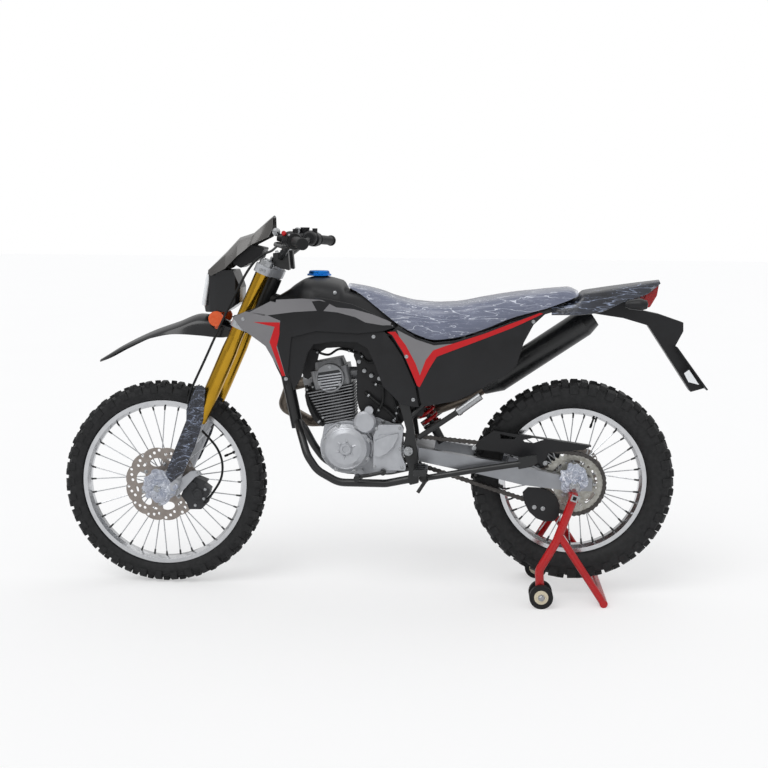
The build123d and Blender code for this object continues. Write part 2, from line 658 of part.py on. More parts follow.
guard_outline = [(-630, 657), (-608, 686), (-570, 694), (-558, 685), (-566, 579), (-594, 490), (-636, 400),
                 (-676, 368), (-694, 396), (-661, 482), (-622, 578)]
guard_wall = 3
with BuildPart() as fork_guards:
    for side in (-1, 1):
        with BuildSketch(fork_plane.offset(-520)) as shell:
            with BuildLine():
                Polyline((-leg_offset + 30, side * (leg_spread + 33)),
                         (-leg_offset - 36, side * (leg_spread + 33)),
                         (-leg_offset - 52, side * (leg_spread + 16)),
                         (-leg_offset - 52, side * (leg_spread - 24)),
                         (-leg_offset - 52 + guard_wall, side * (leg_spread - 24)),
                         (-leg_offset - 52 + guard_wall, side * (leg_spread + 14.8)),
                         (-leg_offset - 34.6, side * (leg_spread + 30)),
                         (-leg_offset + 30, side * (leg_spread + 30)), close=True)
            make_face()
        extrude(shell.sketch, amount=440)
    with BuildSketch(Plane.XZ.offset(-160)) as guard_side:
        with BuildLine():
            Polyline(*guard_outline, close=True)
        make_face()
    extrude(guard_side.sketch, amount=320, mode=Mode.INTERSECT)
save(fork_guards.part, "fork_guards")

with BuildPart() as triple_clamps:
    for low, high in (lower_clamp, upper_clamp):
        with BuildSketch(fork_plane.offset(low)) as yoke:
            with Locations((-leg_offset, leg_spread), (-leg_offset, -leg_spread)):
                Circle(leg_r + 8)
            with BuildLine():
                Polyline((-54, -92), (-46, -30), (-46, 30), (-54, 92),
                         (-4, 112), (26, 24), (26, -24), (-4, -112), close=True)
            make_face()
            with Locations((-leg_offset, leg_spread), (-leg_offset, -leg_spread)):
                Circle(leg_r + 0.1, mode=Mode.SUBTRACT)
        extrude(yoke.sketch, amount=high - low)
    with BuildSketch(fork_plane.offset(lower_clamp[0])) as stem:
        Circle(stem_r)
    extrude(stem.sketch, amount=upper_clamp[1] - lower_clamp[0] + 8)
save(triple_clamps.part, "triple_clamps")

bar_points = [(-205, -grip_end_y + 2, 1160), (-262, -215, 1168), (-318, -75, 1112), (-318, 75, 1112),
              (-262, 215, 1168), (-205, grip_end_y - 2, 1160)]
with BuildPart() as handlebar:
    add_tube(bar_points, 50, 22)
    for side in (-1, 1):
        near, far = sorted((side * 38, side * 66))
        add_plate([(-345, 1084), (-345, 1124), (-296, 1132), (-290, 1068), (-316, 1074)], near, far, corner=3)
save(handlebar.part, "handlebar")

grip_length = 124
hose_start = (-300.5, 225.5, 1174)
mirror_x, mirror_y, mirror_top = -246, 240, 1204  # mouth of the hole for each mirror's stalk
mirror_thread_r = 5
mirror_depth = 14


def bar_end(side):
    """Tip of one end of the handlebar, and the way inwards along it."""
    tip, inner = (Vector(*bar_points[i if side < 0 else -1 - i]) for i in (0, 1))
    return tip, (inner - tip).normalized()


with BuildPart() as grips:
    for side in (-1, 1):
        tip, inward = bar_end(side)
        add_turned(tip - inward * 4, inward, [
            (0, 0), (0, 17), (4, 19), (9, 19), (10, 16), (grip_length - 8, 16.5), (grip_length - 7, 23),
            (grip_length - 3, 23), (grip_length - 2, 18), (grip_length, 18), (grip_length, 11.1), (3.5, 11.1),
            (3.5, 0)])
save(grips.part, "grips")

with BuildPart() as switchgear:
    for side in (-1, 1):
        tip, inward = bar_end(side)
        add_turned(tip, inward, [
            (126, 11.1), (126, 24), (130, 26), (150, 26), (152, 20), (160, 20), (162, 17), (162, 11.1)])
        add_tube([(-272, side * 240, 1160), (-291.6, side * 240, 1159)], 0, 16)
        add_turned((mirror_x, side * mirror_y, mirror_top), (0, 0, -1), [(0, 0), (0, 9), (22, 9), (22, 0)])
    add_tube([(-252, 266, 1178), hose_start], 0, 20)
    add_turned((-281, 242, 1174), (0, 0, 1), [(0, 0), (0, 12), (28, 16), (33, 16), (33, 0)])
    for side in (-1, 1):
        tip, inward = bar_end(side)
        add_turned(tip, inward, [(100, 0), (100, 11.1), (200, 11.1), (200, 0)], mode=Mode.SUBTRACT)
        add_turned((mirror_x, side * mirror_y, mirror_top), (0, 0, -1), [
            (0, 0), (0, mirror_thread_r), (mirror_depth, mirror_thread_r), (mirror_depth, 0)],
            mode=Mode.SUBTRACT)
save(switchgear.part, "switchgear")

with BuildPart() as hand_levers:
    for side in (-1, 1):
        add_tube([(-292, side * 240, 1159), (-308, side * 242, 1158), (-302, side * 290, 1155),
                  (-264, side * 372, 1150)], 9, 11)
        add_turned((-264, side * 372, 1150), (38, side * 82, -5), [
            (-4, 0), (-4, 5.5), (1, 8), (6, 8), (10, 5), (10, 0)])
save(hand_levers.part, "hand_levers")

lamp_half = 66
with BuildPart() as headlight:
    add_plate([(-557, 1064), (-580, 946), (-572, 928), (-500, 930), (-458, 960), (-455, 1010), (-478, 1068)],
              -lamp_half, lamp_half, corner=6)
    lamp_plan = [(-584, 24), (-574, 46), (-556, 60), (-534, lamp_half), (-470, lamp_half), (-452, 50)]
    keep_plan(mirrored(lamp_plan), 920, 1080)
    # recess of the lens, sloped like the lamp's face
    add_plate([(-600, 1050), (-555.5, 1050), (-573.5, 958), (-600, 958)], -44, 44, mode=Mode.SUBTRACT)
    add_plate([(-556, 1048), (-550, 1048), (-568, 960), (-574, 960)], -42, 42)
save(headlight.part, "headlight")

# (X, half width of the crown's edge, half width at the foot, crown Z, edge Z, foot Z)
mask_stations = [
    (-560, 62, 68, 1072, 1066, 1054), (-548, 72, 76, 1084, 1075, 1048), (-500, 74, 88, 1132, 1117, 1072),
    (-461, 68, 86, 1174, 1160, 1112), (-415, 58, 78, 1189, 1177, 1150), (-362, 44, 56, 1236, 1228, 1176),
    (-350, 40, 48, 1246, 1239, 1202),
]
with BuildPart() as headlight_mask:
    add_ribbed(mask_stations, wall=4)
    # the screws that hold it to the lamp
    for side in (-1, 1):
        add_disc(-534, 1059, 4, *sorted((side * lamp_half, side * 78)))
save(headlight_mask.part, "headlight_mask")

with BuildPart() as instruments:
    add_plate([(-484, 1090), (-424, 1150), (-376, 1140), (-390, 1106), (-454, 1074)], -50, 50, corner=4)
save(instruments.part, "instruments")

# (X, half width at the crown's edge, half width at the foot, crown Z, edge Z, foot Z)
fender_stations = [
    (-943, 9, 12, 760, 757, 753), (-920, 26, 30, 774, 770, 762), (-860, 44, 50, 811, 803, 795),
    (-758, 54, 62, 861, 848, 840), (-674, 58, 67, 892, 874, 855), (-590, 56, 67, 921, 899, 851),
    (-520, 52, 62, 906, 888, 845), (-480, 46, 54, 886, 874, 850), (-446, 40, 46, 874, 864, 854),
]
with BuildPart() as front_fender:
    add_ribbed(fender_stations, wall=3.5)
    with BuildSketch(fork_plane.offset(lower_clamp[0])) as fender_pad:
        with Locations((-26, 0)):
            RectangleRounded(34, 60, 8)
    extrude(fender_pad.sketch, amount=-11)
save(front_fender.part, "front_fender")

with BuildPart() as front_reflectors:
    for side in (-1, 1):
        near, far = sorted((side * 72, side * 80))
        add_disc(-532, 908, 25, near, far)
        near, far = sorted((side * 61, side * 72))
        add_disc(-532, 880, 6, near, far)
save(front_reflectors.part, "front_reflectors")

hose_end = (-557.6, -66, 312.7)
caliper_outline = [(-654, 315), (-648, 330), (-607, 380), (-566, 364), (-575, 353), (-556, 338), (-562, 318),
                   (-580, 294), (-574, 281), (-586, 270), (-627, 269), (-635, 291)]
with BuildPart() as front_caliper:
    add_plate(caliper_outline, -86, -38, corner=3)
    add_revolved(front_axle, [(-59, 0), (-59, 134), (-49, 134), (-49, 0)], mode=Mode.SUBTRACT)
    add_disc(-598, 322, 18, -91, -84)
    add_disc(-571, 296, 8, -74, -58)
    add_tube([(-571, -66, 296), hose_end], 0, 10)
save(front_caliper.part, "front_caliper")

hose_r = 4
# route of the brake hose, from the master cylinder on the right bar to the left caliper
hose_route = [
    hose_start, (-332, 190, 1170), (-352, 136, 1154), (-361, 70, 1136), (-362, 4, 1128),
    (-370, -58, 1124), (-393, -101, 1106), (-422, -113, 1066), (-450, -116, 1012), (-480, -115, 954),
    (-507, -113, 898), (-534, -112, 840), (-568, -110, 766), (-598, -103, 706), (-620, -87, 662),
    (-631, -70, 616), (-619, -66, 574), (-592, -66, 540), (-562, -67, 510), (-534, -69, 478),
    (-517, -70, 438), (-515, -70, 396), (-526, -69, 356), hose_end,
]


def cord_radii(route):
    """Largest arcs that fit the corners of a cord's route, one for each inner point."""
    radii = []
    for before, here, after in zip(route, route[1:], route[2:]):
        arrive, leave = Vector(*here) - Vector(*before), Vector(*after) - Vector(*here)
        turn = radians(arrive.get_angle(leave))
        radii.append(0.45 * min(arrive.length, leave.length) / tan(turn / 2))
    return radii


with BuildPart() as front_brake_hose:
    radii = cord_radii(hose_route)
    with BuildLine() as route_line:
        FilletPolyline(*hose_route, radius=radii)
    hose_path = route_line.wire()
    with BuildSketch(Plane(origin=hose_path @ 0, z_dir=hose_path % 0)) as hose_section:
        Circle(hose_r)
    sweep(hose_section.sketch, path=hose_path)
print("hose radii", [round(r) for r in radii], "length", round(hose_path.length))
print("hose volume over section times length",
      round(front_brake_hose.part.volume / (pi * hose_r**2 * hose_path.length), 4))
save(front_brake_hose.part, "front_brake_hose")

with BuildPart() as rear_caliper:
    add_plate([(520, 440), (556, 474), (600, 490), (610, 450), (572, 420), (530, 400)], 56, 84, corner=5)
    add_disc(572, 452, 17, 84, 90)
    add_disc(544, 432, 9, 84, 88)
    add_revolved(rear_axle, [(65, 0), (65, 115), (75, 115), (75, 0)], mode=Mode.SUBTRACT)
save(rear_caliper.part, "rear_caliper")

# ---------------------------------------------------------------- pegs, levers and stands
with BuildPart() as footpegs:
    for side in (-1, 1):
        with BuildSketch(Plane.XY.offset(430)) as cleated:
            with Locations((150, side * 189)):
                RectangleRounded(44, 102, 9)
                for y in (-31, 0, 31):
                    with Locations((0, y)):
                        RectangleRounded(30, 24, 4, mode=Mode.SUBTRACT)
            with Locations((150, side * 131)):
                Rectangle(24, 18)
        extrude(cleated.sketch, amount=20)
save(footpegs.part, "footpegs")

with BuildPart() as pillion_pegs:
    for side in (-1, 1):
        add_tube([(140, side * 131.5, 536), (268, side * 160, 629)], 0, 18)
        add_tube([(262, side * 162, 624), (336, side * 166, 680)], 0, 24)
save(pillion_pegs.part, "pillion_pegs")

with BuildPart() as foot_levers:
    add_tube([(25, -114.5, 418), (25, -134, 418)], 0, 20)
    add_tube([(25, -130, 418), (-20, -134, 408), (-57, -142, 404)], 20, 12)
    add_tube([(-57, -136, 404), (-57, -182, 404)], 0, 20)
    add_tube([(120, 122.5, 420), (120, 140, 420)], 0, 20)
    add_tube([(120, 136, 420), (20, 140, 404), (-62, 152, 402)], 30, 12)
    add_tube([(-62, 146, 402), (-62, 186, 402)], 0, 22)
save(foot_levers.part, "foot_levers")

stand_pivot = (160, -134, 404)
stand_axis = (-0.237, 0.932, -0.272)  # tilted, so that the foot swings down and outwards
with BuildPart() as side_stand:
    add_turned(stand_pivot, stand_axis, [(-9, 0), (-9, 16), (9, 16), (9, 0)])
    add_tube([(172, -139, 406), (300, -148, 432), (470, -152, 462)], 60, 20)
    add_tube([(166, -142, 398), (140, -150, 358)], 0, 12)
    add_plate([(462, 444), (462, 482), (518, 492), (524, 466), (500, 452)], -160, -144, corner=4)
save(side_stand.part, "side_stand")

roller_axle = (543, 38)
roller_r = 38
with BuildPart() as paddock_stand:
    for side in (-1, 1):
        near, far = sorted((side * 96, side * 172))
        add_plate([(628, 342), (628, 367.8), (654, 367.8), (654, 342)], near, far)
        add_tube([(641, side * 152, 350), (590, side * 166, 212), (536, side * 177, 118),
                  (541, side * 177, 44)], 30, 28)
        add_tube([(600, side * 166, 230), (745, side * 170, 13)], 0, 24)
        add_disc(*roller_axle, 8, *sorted((side * 146, side * 208)))
        add_disc(*roller_axle, 16, *sorted((side * 164, side * 190)))
    add_tube([(745, -182, 13), (745, 182, 13)], 0, 26)
save(paddock_stand.part, "paddock_stand")

for side, name in ((-1, "left"), (1, "right")):
    with BuildPart() as rollers:
        for y in (150, 204):
            near, far = sorted((side * (y - 10), side * (y + 10)))
            add_disc(*roller_axle, roller_r, near, far)
            add_disc(*roller_axle, 8 + running, near, far, mode=Mode.SUBTRACT)
    save(rollers.part, f"stand_rollers_{name}")
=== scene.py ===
"""Dual sport motorcycle on its paddock stand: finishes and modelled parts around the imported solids."""

import json
import logging
import math
from dataclasses import dataclass
from enum import Enum
from math import cos, pi, radians, sin

import bmesh
import bpy
from bmesh.types import BMesh
from bpy.types import Material, Node, NodeSocket, NodeTree, Object, Scene
from mathutils import Matrix, Vector, noise
from mathutils.bvhtree import BVHTree

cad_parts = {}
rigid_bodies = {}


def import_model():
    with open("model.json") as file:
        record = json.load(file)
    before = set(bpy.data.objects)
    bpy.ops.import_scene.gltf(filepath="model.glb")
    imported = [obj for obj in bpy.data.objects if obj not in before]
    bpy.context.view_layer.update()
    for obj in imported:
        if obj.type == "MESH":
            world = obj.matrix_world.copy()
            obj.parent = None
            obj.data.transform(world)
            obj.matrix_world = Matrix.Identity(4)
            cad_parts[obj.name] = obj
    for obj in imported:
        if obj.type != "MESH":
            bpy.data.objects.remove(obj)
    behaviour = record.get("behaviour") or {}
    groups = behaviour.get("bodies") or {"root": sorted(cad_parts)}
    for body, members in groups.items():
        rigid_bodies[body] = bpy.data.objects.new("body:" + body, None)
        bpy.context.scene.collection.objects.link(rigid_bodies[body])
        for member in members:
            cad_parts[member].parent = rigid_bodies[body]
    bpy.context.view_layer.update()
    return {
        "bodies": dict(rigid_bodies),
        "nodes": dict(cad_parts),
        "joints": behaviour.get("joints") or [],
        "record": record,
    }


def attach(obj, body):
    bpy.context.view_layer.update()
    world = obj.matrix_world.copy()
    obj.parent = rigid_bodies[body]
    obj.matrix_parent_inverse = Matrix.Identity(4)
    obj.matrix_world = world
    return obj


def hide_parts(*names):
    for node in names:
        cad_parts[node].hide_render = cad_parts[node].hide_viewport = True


log = logging.getLogger("motorcycle")
MM = 0.001


class Body(str, Enum):
    """The rigid bodies that pieces ride on."""

    CHASSIS = "chassis"
    STEERING = "steering"
    FRONT_WHEEL = "front_wheel"
    REAR_WHEEL = "rear_wheel"
    SIDE_STAND = "side_stand"
    ROLLERS_LEFT = "stand_rollers_left"
    ROLLERS_RIGHT = "stand_rollers_right"


# ------------------------------------------------------------------ colour and shader nodes
def linear(colour: str) -> tuple[float, float, float, float]:
    """Turn an sRGB hex value into a linear colour.

    Args:
        colour: six hex digits, red first.

    Returns:
        Linear red, green and blue with an alpha of 1.
    """
    parts = [int(colour[i : i + 2], 16) / 255 for i in (0, 2, 4)]
    return (*(p / 12.92 if p <= 0.04045 else ((p + 0.055) / 1.055) ** 2.4 for p in parts), 1.0)


def add_node(tree: NodeTree, kind: str, settings: dict | None = None, inputs: dict | None = None) -> Node:
    """Add one shader node with its settings, values and links.

    Args:
        tree: node tree that the node joins.
        kind: the node's type name.
        settings: properties of the node.
        inputs: a value or another node's output for each named or numbered input.

    Returns:
        The new node.
    """
    node = tree.nodes.new(kind)
    for name, value in (settings or {}).items():
        setattr(node, name, value)
    for name, value in (inputs or {}).items():
        if isinstance(value, NodeSocket):
            tree.links.new(value, node.inputs[name])
        else:
            node.inputs[name].default_value = value
    return node


@dataclass(frozen=True)
class Finish:
    """A surface of one real material, with its grain, its unevenness and a second tone."""

    name: str
    colour: str
    roughness: float
    metallic: float = 0.0
    second: str = ""  # tone of the uneven patches; the first colour if empty
    patch_mm: float = 60.0  # size of the patches
    patch_share: float = 0.5  # how strongly the second tone shows
    grain_mm: float = 1.2  # spacing of the surface's grain
    grain_depth_mm: float = 0.02
    uneven: float = 0.06  # how far the roughness wanders
    coat: float = 0.0
    specular: float = 0.5  # 0.5 is plastic of IOR 1.5; a matt skin scatters most of it away
    sheen: float = 0.0
    edge_mm: float = 0.0  # radius that the shader gives to sharp edges
    stretch: tuple[float, float, float] = (1.0, 1.0, 1.0)  # how the grain is drawn out

    def grain(self, tree: NodeTree, place: NodeSocket) -> NodeSocket:
        """Return the height of the surface's grain."""
        node = add_node(tree, "ShaderNodeTexNoise", {}, {
            "Vector": place, "Scale": 1 / (self.grain_mm * MM), "Detail": 3.0, "Roughness": 0.6})
        return node.outputs["Fac"]

    def build(self) -> Material:
        """Make the material, or return it if it is already made.

        Returns:
            The Blender material.
        """
        found = bpy.data.materials.get(self.name)
        if found:
            return found
        material = bpy.data.materials.new(self.name)
        material.use_nodes = True
        tree = material.node_tree
        tree.nodes.clear()
        place = add_node(tree, "ShaderNodeTexCoord").outputs["Object"]
        drawn = add_node(tree, "ShaderNodeMapping", {}, {"Vector": place,
            "Scale": self.stretch}).outputs["Vector"]
        patch = add_node(tree, "ShaderNodeTexNoise", {}, {
            "Vector": place, "Scale": 1 / (self.patch_mm * MM), "Detail": 4.0, "Roughness": 0.55})
        share = add_node(tree, "ShaderNodeMapRange", {}, {
            "Value": patch.outputs["Fac"], "From Min": 0.35, "From Max": 0.75,
            "To Min": 0.0, "To Max": self.patch_share})
        tone = add_node(tree, "ShaderNodeMixRGB", {}, {
            "Fac": share.outputs["Result"], "Color1": linear(self.colour),
            "Color2": linear(self.second or self.colour)})
        rough = add_node(tree, "ShaderNodeMapRange", {}, {
            "Value": patch.outputs["Fac"], "From Min": 0.3, "From Max": 0.7,
            "To Min": max(self.roughness - self.uneven, 0.02),
            "To Max": min(self.roughness + self.uneven, 1.0)})
        bump = add_node(tree, "ShaderNodeBump", {}, {
            "Height": self.grain(tree, drawn), "Distance": self.grain_depth_mm * MM, "Strength": 1.0})
        if self.edge_mm:
            edge = add_node(tree, "ShaderNodeBevel", {"samples": 4}, {"Radius": self.edge_mm * MM})
            tree.links.new(edge.outputs["Normal"], bump.inputs["Normal"])
        shader = add_node(tree, "ShaderNodeBsdfPrincipled", {}, {
            "Base Color": tone.outputs["Color"], "Metallic": self.metallic,
            "Roughness": rough.outputs["Result"],
            "Specular IOR Level": self.specular, "Sheen Weight": self.sheen, "Coat Weight": self.coat,
            "Coat Roughness": 0.08, "Normal": bump.outputs["Normal"]})
        self.finish_shader(tree, shader, place)
        add_node(tree, "ShaderNodeOutputMaterial", {}, {"Surface": shader.outputs["BSDF"]})
        return material

    def finish_shader(self, tree: NodeTree, shader: Node,
            place: NodeSocket) -> None:
        """Leave the shader as it is; clear materials add to it."""


@dataclass(frozen=True)
class Leathered(Finish):
    """A moulded or calendered surface with a pebbled, leather-like grain."""

    def grain(self, tree: NodeTree, place: NodeSocket) -> NodeSocket:
        """Return the height of rounded pebbles with creases between them."""
        node = add_node(tree, "ShaderNodeTexVoronoi", {"feature": "SMOOTH_F1"}, {
            "Vector": place, "Scale": 1 / (self.grain_mm * MM), "Smoothness": 0.6})
        return node.outputs["Distance"]


@dataclass(frozen=True)
class PackingFilm(Finish):
    """Thin polyethylene packing film: a cloudy veil with thin pleats, drawn pale with a painted highlight."""

    pleat_highlight: str = "ffffff"  # colour of the painted highlight along the pleats
    pleat_mm: float = 20.0  # spacing of the pleats
    pleat_width: float = 0.03  # share of the spacing that takes the painted highlight
    lean: float = 0.0  # how far the pleats are turned about Y, in degrees
    draw: tuple[float, float, float] = (1.0, 1.0, 1.0)  # how the pleats are drawn out
    veil: float = 0.6  # opacity between the pleats; at 1 the film lies on something dark

    def grain(self, tree: NodeTree, place: NodeSocket) -> NodeSocket:
        """Return the height of folded creases."""
        node = add_node(tree, "ShaderNodeTexVoronoi", {"feature": "DISTANCE_TO_EDGE"}, {
            "Vector": place, "Scale": 1 / (self.grain_mm * MM), "Randomness": 1.0})
        return node.outputs["Distance"]

    def highlight_lines(self, tree: NodeTree, place: NodeSocket,
            size: float) -> NodeSocket:
        """Return how far each point is on a pleat, where the highlight is painted: thin lines where a noise
        crosses its middle.

        Args:
            tree: node tree of the material.
            place: coordinates.
            size: spacing of the lines, in mm.

        Returns:
            1 on a pleat, 0 beside it.
        """
        field = add_node(tree, "ShaderNodeTexNoise", {}, {
            "Vector": place, "Scale": 1 / (size * MM), "Detail": 3.0, "Roughness": 0.5, "Distortion": 0.6})
        off = add_node(tree, "ShaderNodeMath", {"operation": "SUBTRACT"}, {0: field.outputs["Fac"], 1: 0.5})
        away = add_node(tree, "ShaderNodeMath", {"operation": "ABSOLUTE"}, {0: off.outputs[0]})
        return add_node(tree, "ShaderNodeMapRange", {}, {
            "Value": away.outputs[0], "From Min": 0.0, "From Max": self.pleat_width,
            "To Min": 1.0, "To Max": 0.0}).outputs["Result"]

    def finish_shader(self, tree: NodeTree, shader: Node,
            place: NodeSocket) -> None:
        """Paint highlights along the pleats in the colour and, on clear film, in the opacity."""
        turned = add_node(tree, "ShaderNodeMapping", {}, {
            "Vector": place, "Rotation": (0.0, radians(self.lean), 0.0),
            "Scale": self.draw}).outputs["Vector"]
        wide = self.highlight_lines(tree, turned, self.pleat_mm)
        fine = self.highlight_lines(tree, turned, self.pleat_mm * 0.45)
        share = add_node(tree, "ShaderNodeMath", {"operation": "MULTIPLY_ADD"}, {0: fine, 1: 0.45, 2: wide})
        highlight_share = add_node(tree, "ShaderNodeClamp", {}, {"Value": share.outputs[0]})
        tone = shader.inputs["Base Color"].links[0].from_socket
        # painted highlight: the base colour is mixed towards a pale tone along the pleat lines
        mixed = add_node(tree, "ShaderNodeMixRGB", {}, {
            "Fac": highlight_share.outputs[0], "Color1": tone, "Color2": linear(self.pleat_highlight)})
        tree.links.new(mixed.outputs["Color"], shader.inputs["Base Color"])
        if self.veil < 1:
            clear = add_node(tree, "ShaderNodeMapRange", {}, {
                "Value": highlight_share.outputs[0], "To Min": self.veil, "To Max": min(self.veil + 0.3, 0.95)})
            tree.links.new(clear.outputs["Result"], shader.inputs["Alpha"])


@dataclass(frozen=True)
class Lens(Finish):
    """A clear or tinted moulded lens with prisms behind its face."""

    clear: float = 0.5  # transmission

    def finish_shader(self, tree: NodeTree, shader: Node,
            place: NodeSocket) -> None:
        """Let light through the lens."""
        shader.inputs["Transmission Weight"].default_value = self.clear
        shader.inputs["IOR"].default_value = 1.49
# ------------------------------------------------------------------ finishes
# Polypropylene panels, black through and moulded with a fine matt grain: soft, wide highlights.
BLACK_PP = Leathered("moulded polypropylene black", "141416", 0.4, second="1e1f22", grain_mm=0.9,
    grain_depth_mm=0.03, specular=0.34, edge_mm=0.8)
# Glossier ABS of the fender and mask: the studio shows in it as long pale streaks.
BLACK_ABS = Finish("moulded ABS black", "101113", 0.2, second="191a1d", patch_mm=120, grain_mm=3,
    grain_depth_mm=0.01, uneven=0.05, specular=0.45, edge_mm=0.8)
# Grey ABS with metal flake in it, under a clear coat.
GREY_ABS = Finish("painted ABS grey", "79787a", 0.36, metallic=0.1, second="6a696c", patch_mm=110,
    grain_mm=0.5, grain_depth_mm=0.01, coat=0.3, specular=0.35, edge_mm=0.8)
# Charcoal of the lamp mask and screen: smooth, and lighter than the black panels round it.
CHARCOAL_ABS = Finish("painted ABS charcoal", "4d4b49", 0.26, metallic=0.15, second="3f3e3d", patch_mm=120,
    grain_mm=2, grain_depth_mm=0.008, coat=0.35, specular=0.4, edge_mm=0.8)
# Vinyl film graphics on the panels: flat colour with a slight sheen.
RED_VINYL_FILM = Finish("cast vinyl film red", "be141b", 0.34, second="ac0f16", grain_mm=2,
    grain_depth_mm=0.005, specular=0.3)
BLACK_VINYL_FILM = Finish("cast vinyl film black", "1b1c1f", 0.3, second="131416", grain_mm=2,
    grain_depth_mm=0.005, specular=0.3)
# Powder coat on steel tube: black, with the faint orange peel that the powder leaves.
POWDER_COAT = Finish("powder coated steel black", "151617", 0.36, second="1e1f20", grain_mm=2.5,
    grain_depth_mm=0.06, edge_mm=0.6)
# Gloss enamel on the stand's tube: bright red, with a clear skin and an uneven flow.
RED_ENAMEL = Finish("red enamel on steel", "b01116", 0.3, second="970c12", patch_mm=40, grain_mm=6,
    grain_depth_mm=0.05, coat=0.25, specular=0.35, edge_mm=0.8)
# Sand cast aluminium, painted silver: a fine pebble that breaks up the light.
CAST_ALUMINIUM = Leathered("sand cast aluminium silver paint", "b3b5b9", 0.36, metallic=0.45, second="9b9da2",
    grain_mm=0.8, grain_depth_mm=0.05, patch_mm=30, edge_mm=1.2)
# The head is left as it was cast: a duller grey than the painted covers.
RAW_CASTING = Leathered("sand cast aluminium bare", "8a8b8d", 0.44, metallic=0.5, second="717275",
    grain_mm=0.9, grain_depth_mm=0.06, patch_mm=24, edge_mm=1.0)
# The same alloy painted black for the finned cylinder.
BLACK_CASTING = Leathered("cast aluminium black paint", "2a2b2d", 0.46, metallic=0.35, second="3a3b3d",
    grain_mm=0.9, grain_depth_mm=0.05, edge_mm=0.6)
# Extruded and brushed aluminium of the swingarm: fine lines along its length.
BRUSHED_ALUMINIUM = Finish("brushed aluminium", "96989c", 0.34, metallic=0.9, second="84868a", grain_mm=0.5,
    grain_depth_mm=0.02, stretch=(0.05, 1.0, 1.0), edge_mm=1.0)
# Rolled and polished rims: bright, with faint turning marks.
POLISHED_ALUMINIUM = Finish("polished aluminium", "c9cacc", 0.16, metallic=1.0, second="b4b5b8", patch_mm=25,
    grain_mm=2, grain_depth_mm=0.004, edge_mm=0.6)
# Gold anodised tubes: dyed oxide over a turned surface, so the colour deepens towards the edges.
GOLD_ANODISED = Finish("gold anodised aluminium", "bd922c", 0.2, metallic=0.95, second="97731c", patch_mm=80,
    grain_mm=0.6, grain_depth_mm=0.006, uneven=0.04, edge_mm=0.8)
# Blue anodised filler cap.
BLUE_ANODISED = Finish("blue anodised aluminium", "1673c9", 0.26, metallic=0.9, second="0f5fae", patch_mm=20,
    grain_mm=0.5, grain_depth_mm=0.01, edge_mm=0.8)
# Galvanised spokes and the hub between them: bright thin wires that catch the ceiling light.
SPOKE_STEEL = Finish("galvanised spoke steel", "c2c4c7", 0.3, metallic=0.6, second="a6a8ab", patch_mm=10,
    grain_mm=0.6, grain_depth_mm=0.01)
# Zinc plated screws, nuts and spokes: bright but greyer than chrome.
ZINC_PLATE = Finish("zinc plated steel", "a8aaac", 0.28, metallic=0.95, second="8f9194", patch_mm=8,
    grain_mm=0.6, grain_depth_mm=0.01, edge_mm=0.3)
# Surface ground stainless discs: a faint warm grey with fine scratches.
GROUND_STAINLESS = Finish("ground stainless steel", "978f89", 0.36, metallic=0.85, second="7f7771",
    patch_mm=18, grain_mm=0.4, grain_depth_mm=0.015, stretch=(1.0, 1.0, 0.2), edge_mm=0.4)
# Yellowish zinc plate on the sprocket, dulled by grease.
PLATED_SPROCKET = Finish("yellow zinc plated steel", "a9a8a2", 0.32, metallic=0.85, second="7d7a70",
    patch_mm=12, patch_share=0.8, grain_mm=0.6, grain_depth_mm=0.015, edge_mm=0.4)
# Heat stained mild steel of the header.
HEADER_STEEL = Finish("blued steel header", "6d655c", 0.38, metallic=0.85, second="4a4038", patch_mm=50,
    grain_mm=1.0, grain_depth_mm=0.02)
# Black paint on small steel parts.
BLACK_STEEL = Finish("black painted steel", "1b1c1d", 0.32, second="2a2b2c", patch_mm=20, grain_mm=1.5,
    grain_depth_mm=0.03, edge_mm=0.5)
# Oiled roller chain: steel plates with a brownish film of grease in the joints.
CHAIN_STEEL = Finish("oiled chain steel", "4e4b49", 0.36, metallic=0.7, second="2c2a28", patch_mm=7,
    grain_mm=0.8, grain_depth_mm=0.02, edge_mm=0.3)
# Tyre rubber: carbon black, dull, with a dusty bloom.
TYRE_RUBBER = Finish("tyre rubber", "121314", 0.6, second="29292a", patch_mm=14, patch_share=0.9,
    grain_mm=1.0, grain_depth_mm=0.06, uneven=0.1, specular=0.3, edge_mm=0.6)
# Soft moulded rubber of grips, hoses and boots.
MOULDED_RUBBER = Finish("moulded rubber", "121314", 0.55, second="1d1e1f", patch_mm=12, grain_mm=0.7,
    grain_depth_mm=0.03, specular=0.3)
# Cream nylon of the stand's roller hubs.
CREAM_NYLON = Finish("moulded nylon cream", "cfc6ae", 0.45, second="bdb39a", patch_mm=12, grain_mm=1.0,
    grain_depth_mm=0.02, edge_mm=0.5)
# Coated vinyl of the seat: black with a leather pebble.
SEAT_VINYL = Leathered("coated vinyl black", "1c1c1e", 0.45, second="29292c", patch_mm=70, grain_mm=1.6,
    grain_depth_mm=0.12)
# Film pulled tight over the seat: a bluish veil with fine pleats that run down and back, drawn pale with a
# painted highlight.
PACKING_FILM = PackingFilm("polyethylene film stretched", "878da2", 0.2, second="6d7389", patch_mm=110,
    patch_share=0.9, grain_mm=7, grain_depth_mm=0.3, uneven=0.04, pleat_mm=26, pleat_width=0.011, lean=38,
    draw=(0.13, 1.0, 1.0), veil=0.74, pleat_highlight="dfe3ee", sheen=0.5)
# The same film balled up round the hubs: whiter, with close folds in every direction, each drawn with a pale
# painted highlight.
CRUMPLED_FILM = PackingFilm("polyethylene film crumpled", "b4b9c4", 0.18, second="838ba0", patch_mm=26,
    patch_share=0.9, grain_mm=12, grain_depth_mm=0.8, uneven=0.05, pleat_mm=30, pleat_width=0.016, veil=0.86,
    pleat_highlight="eceff5")
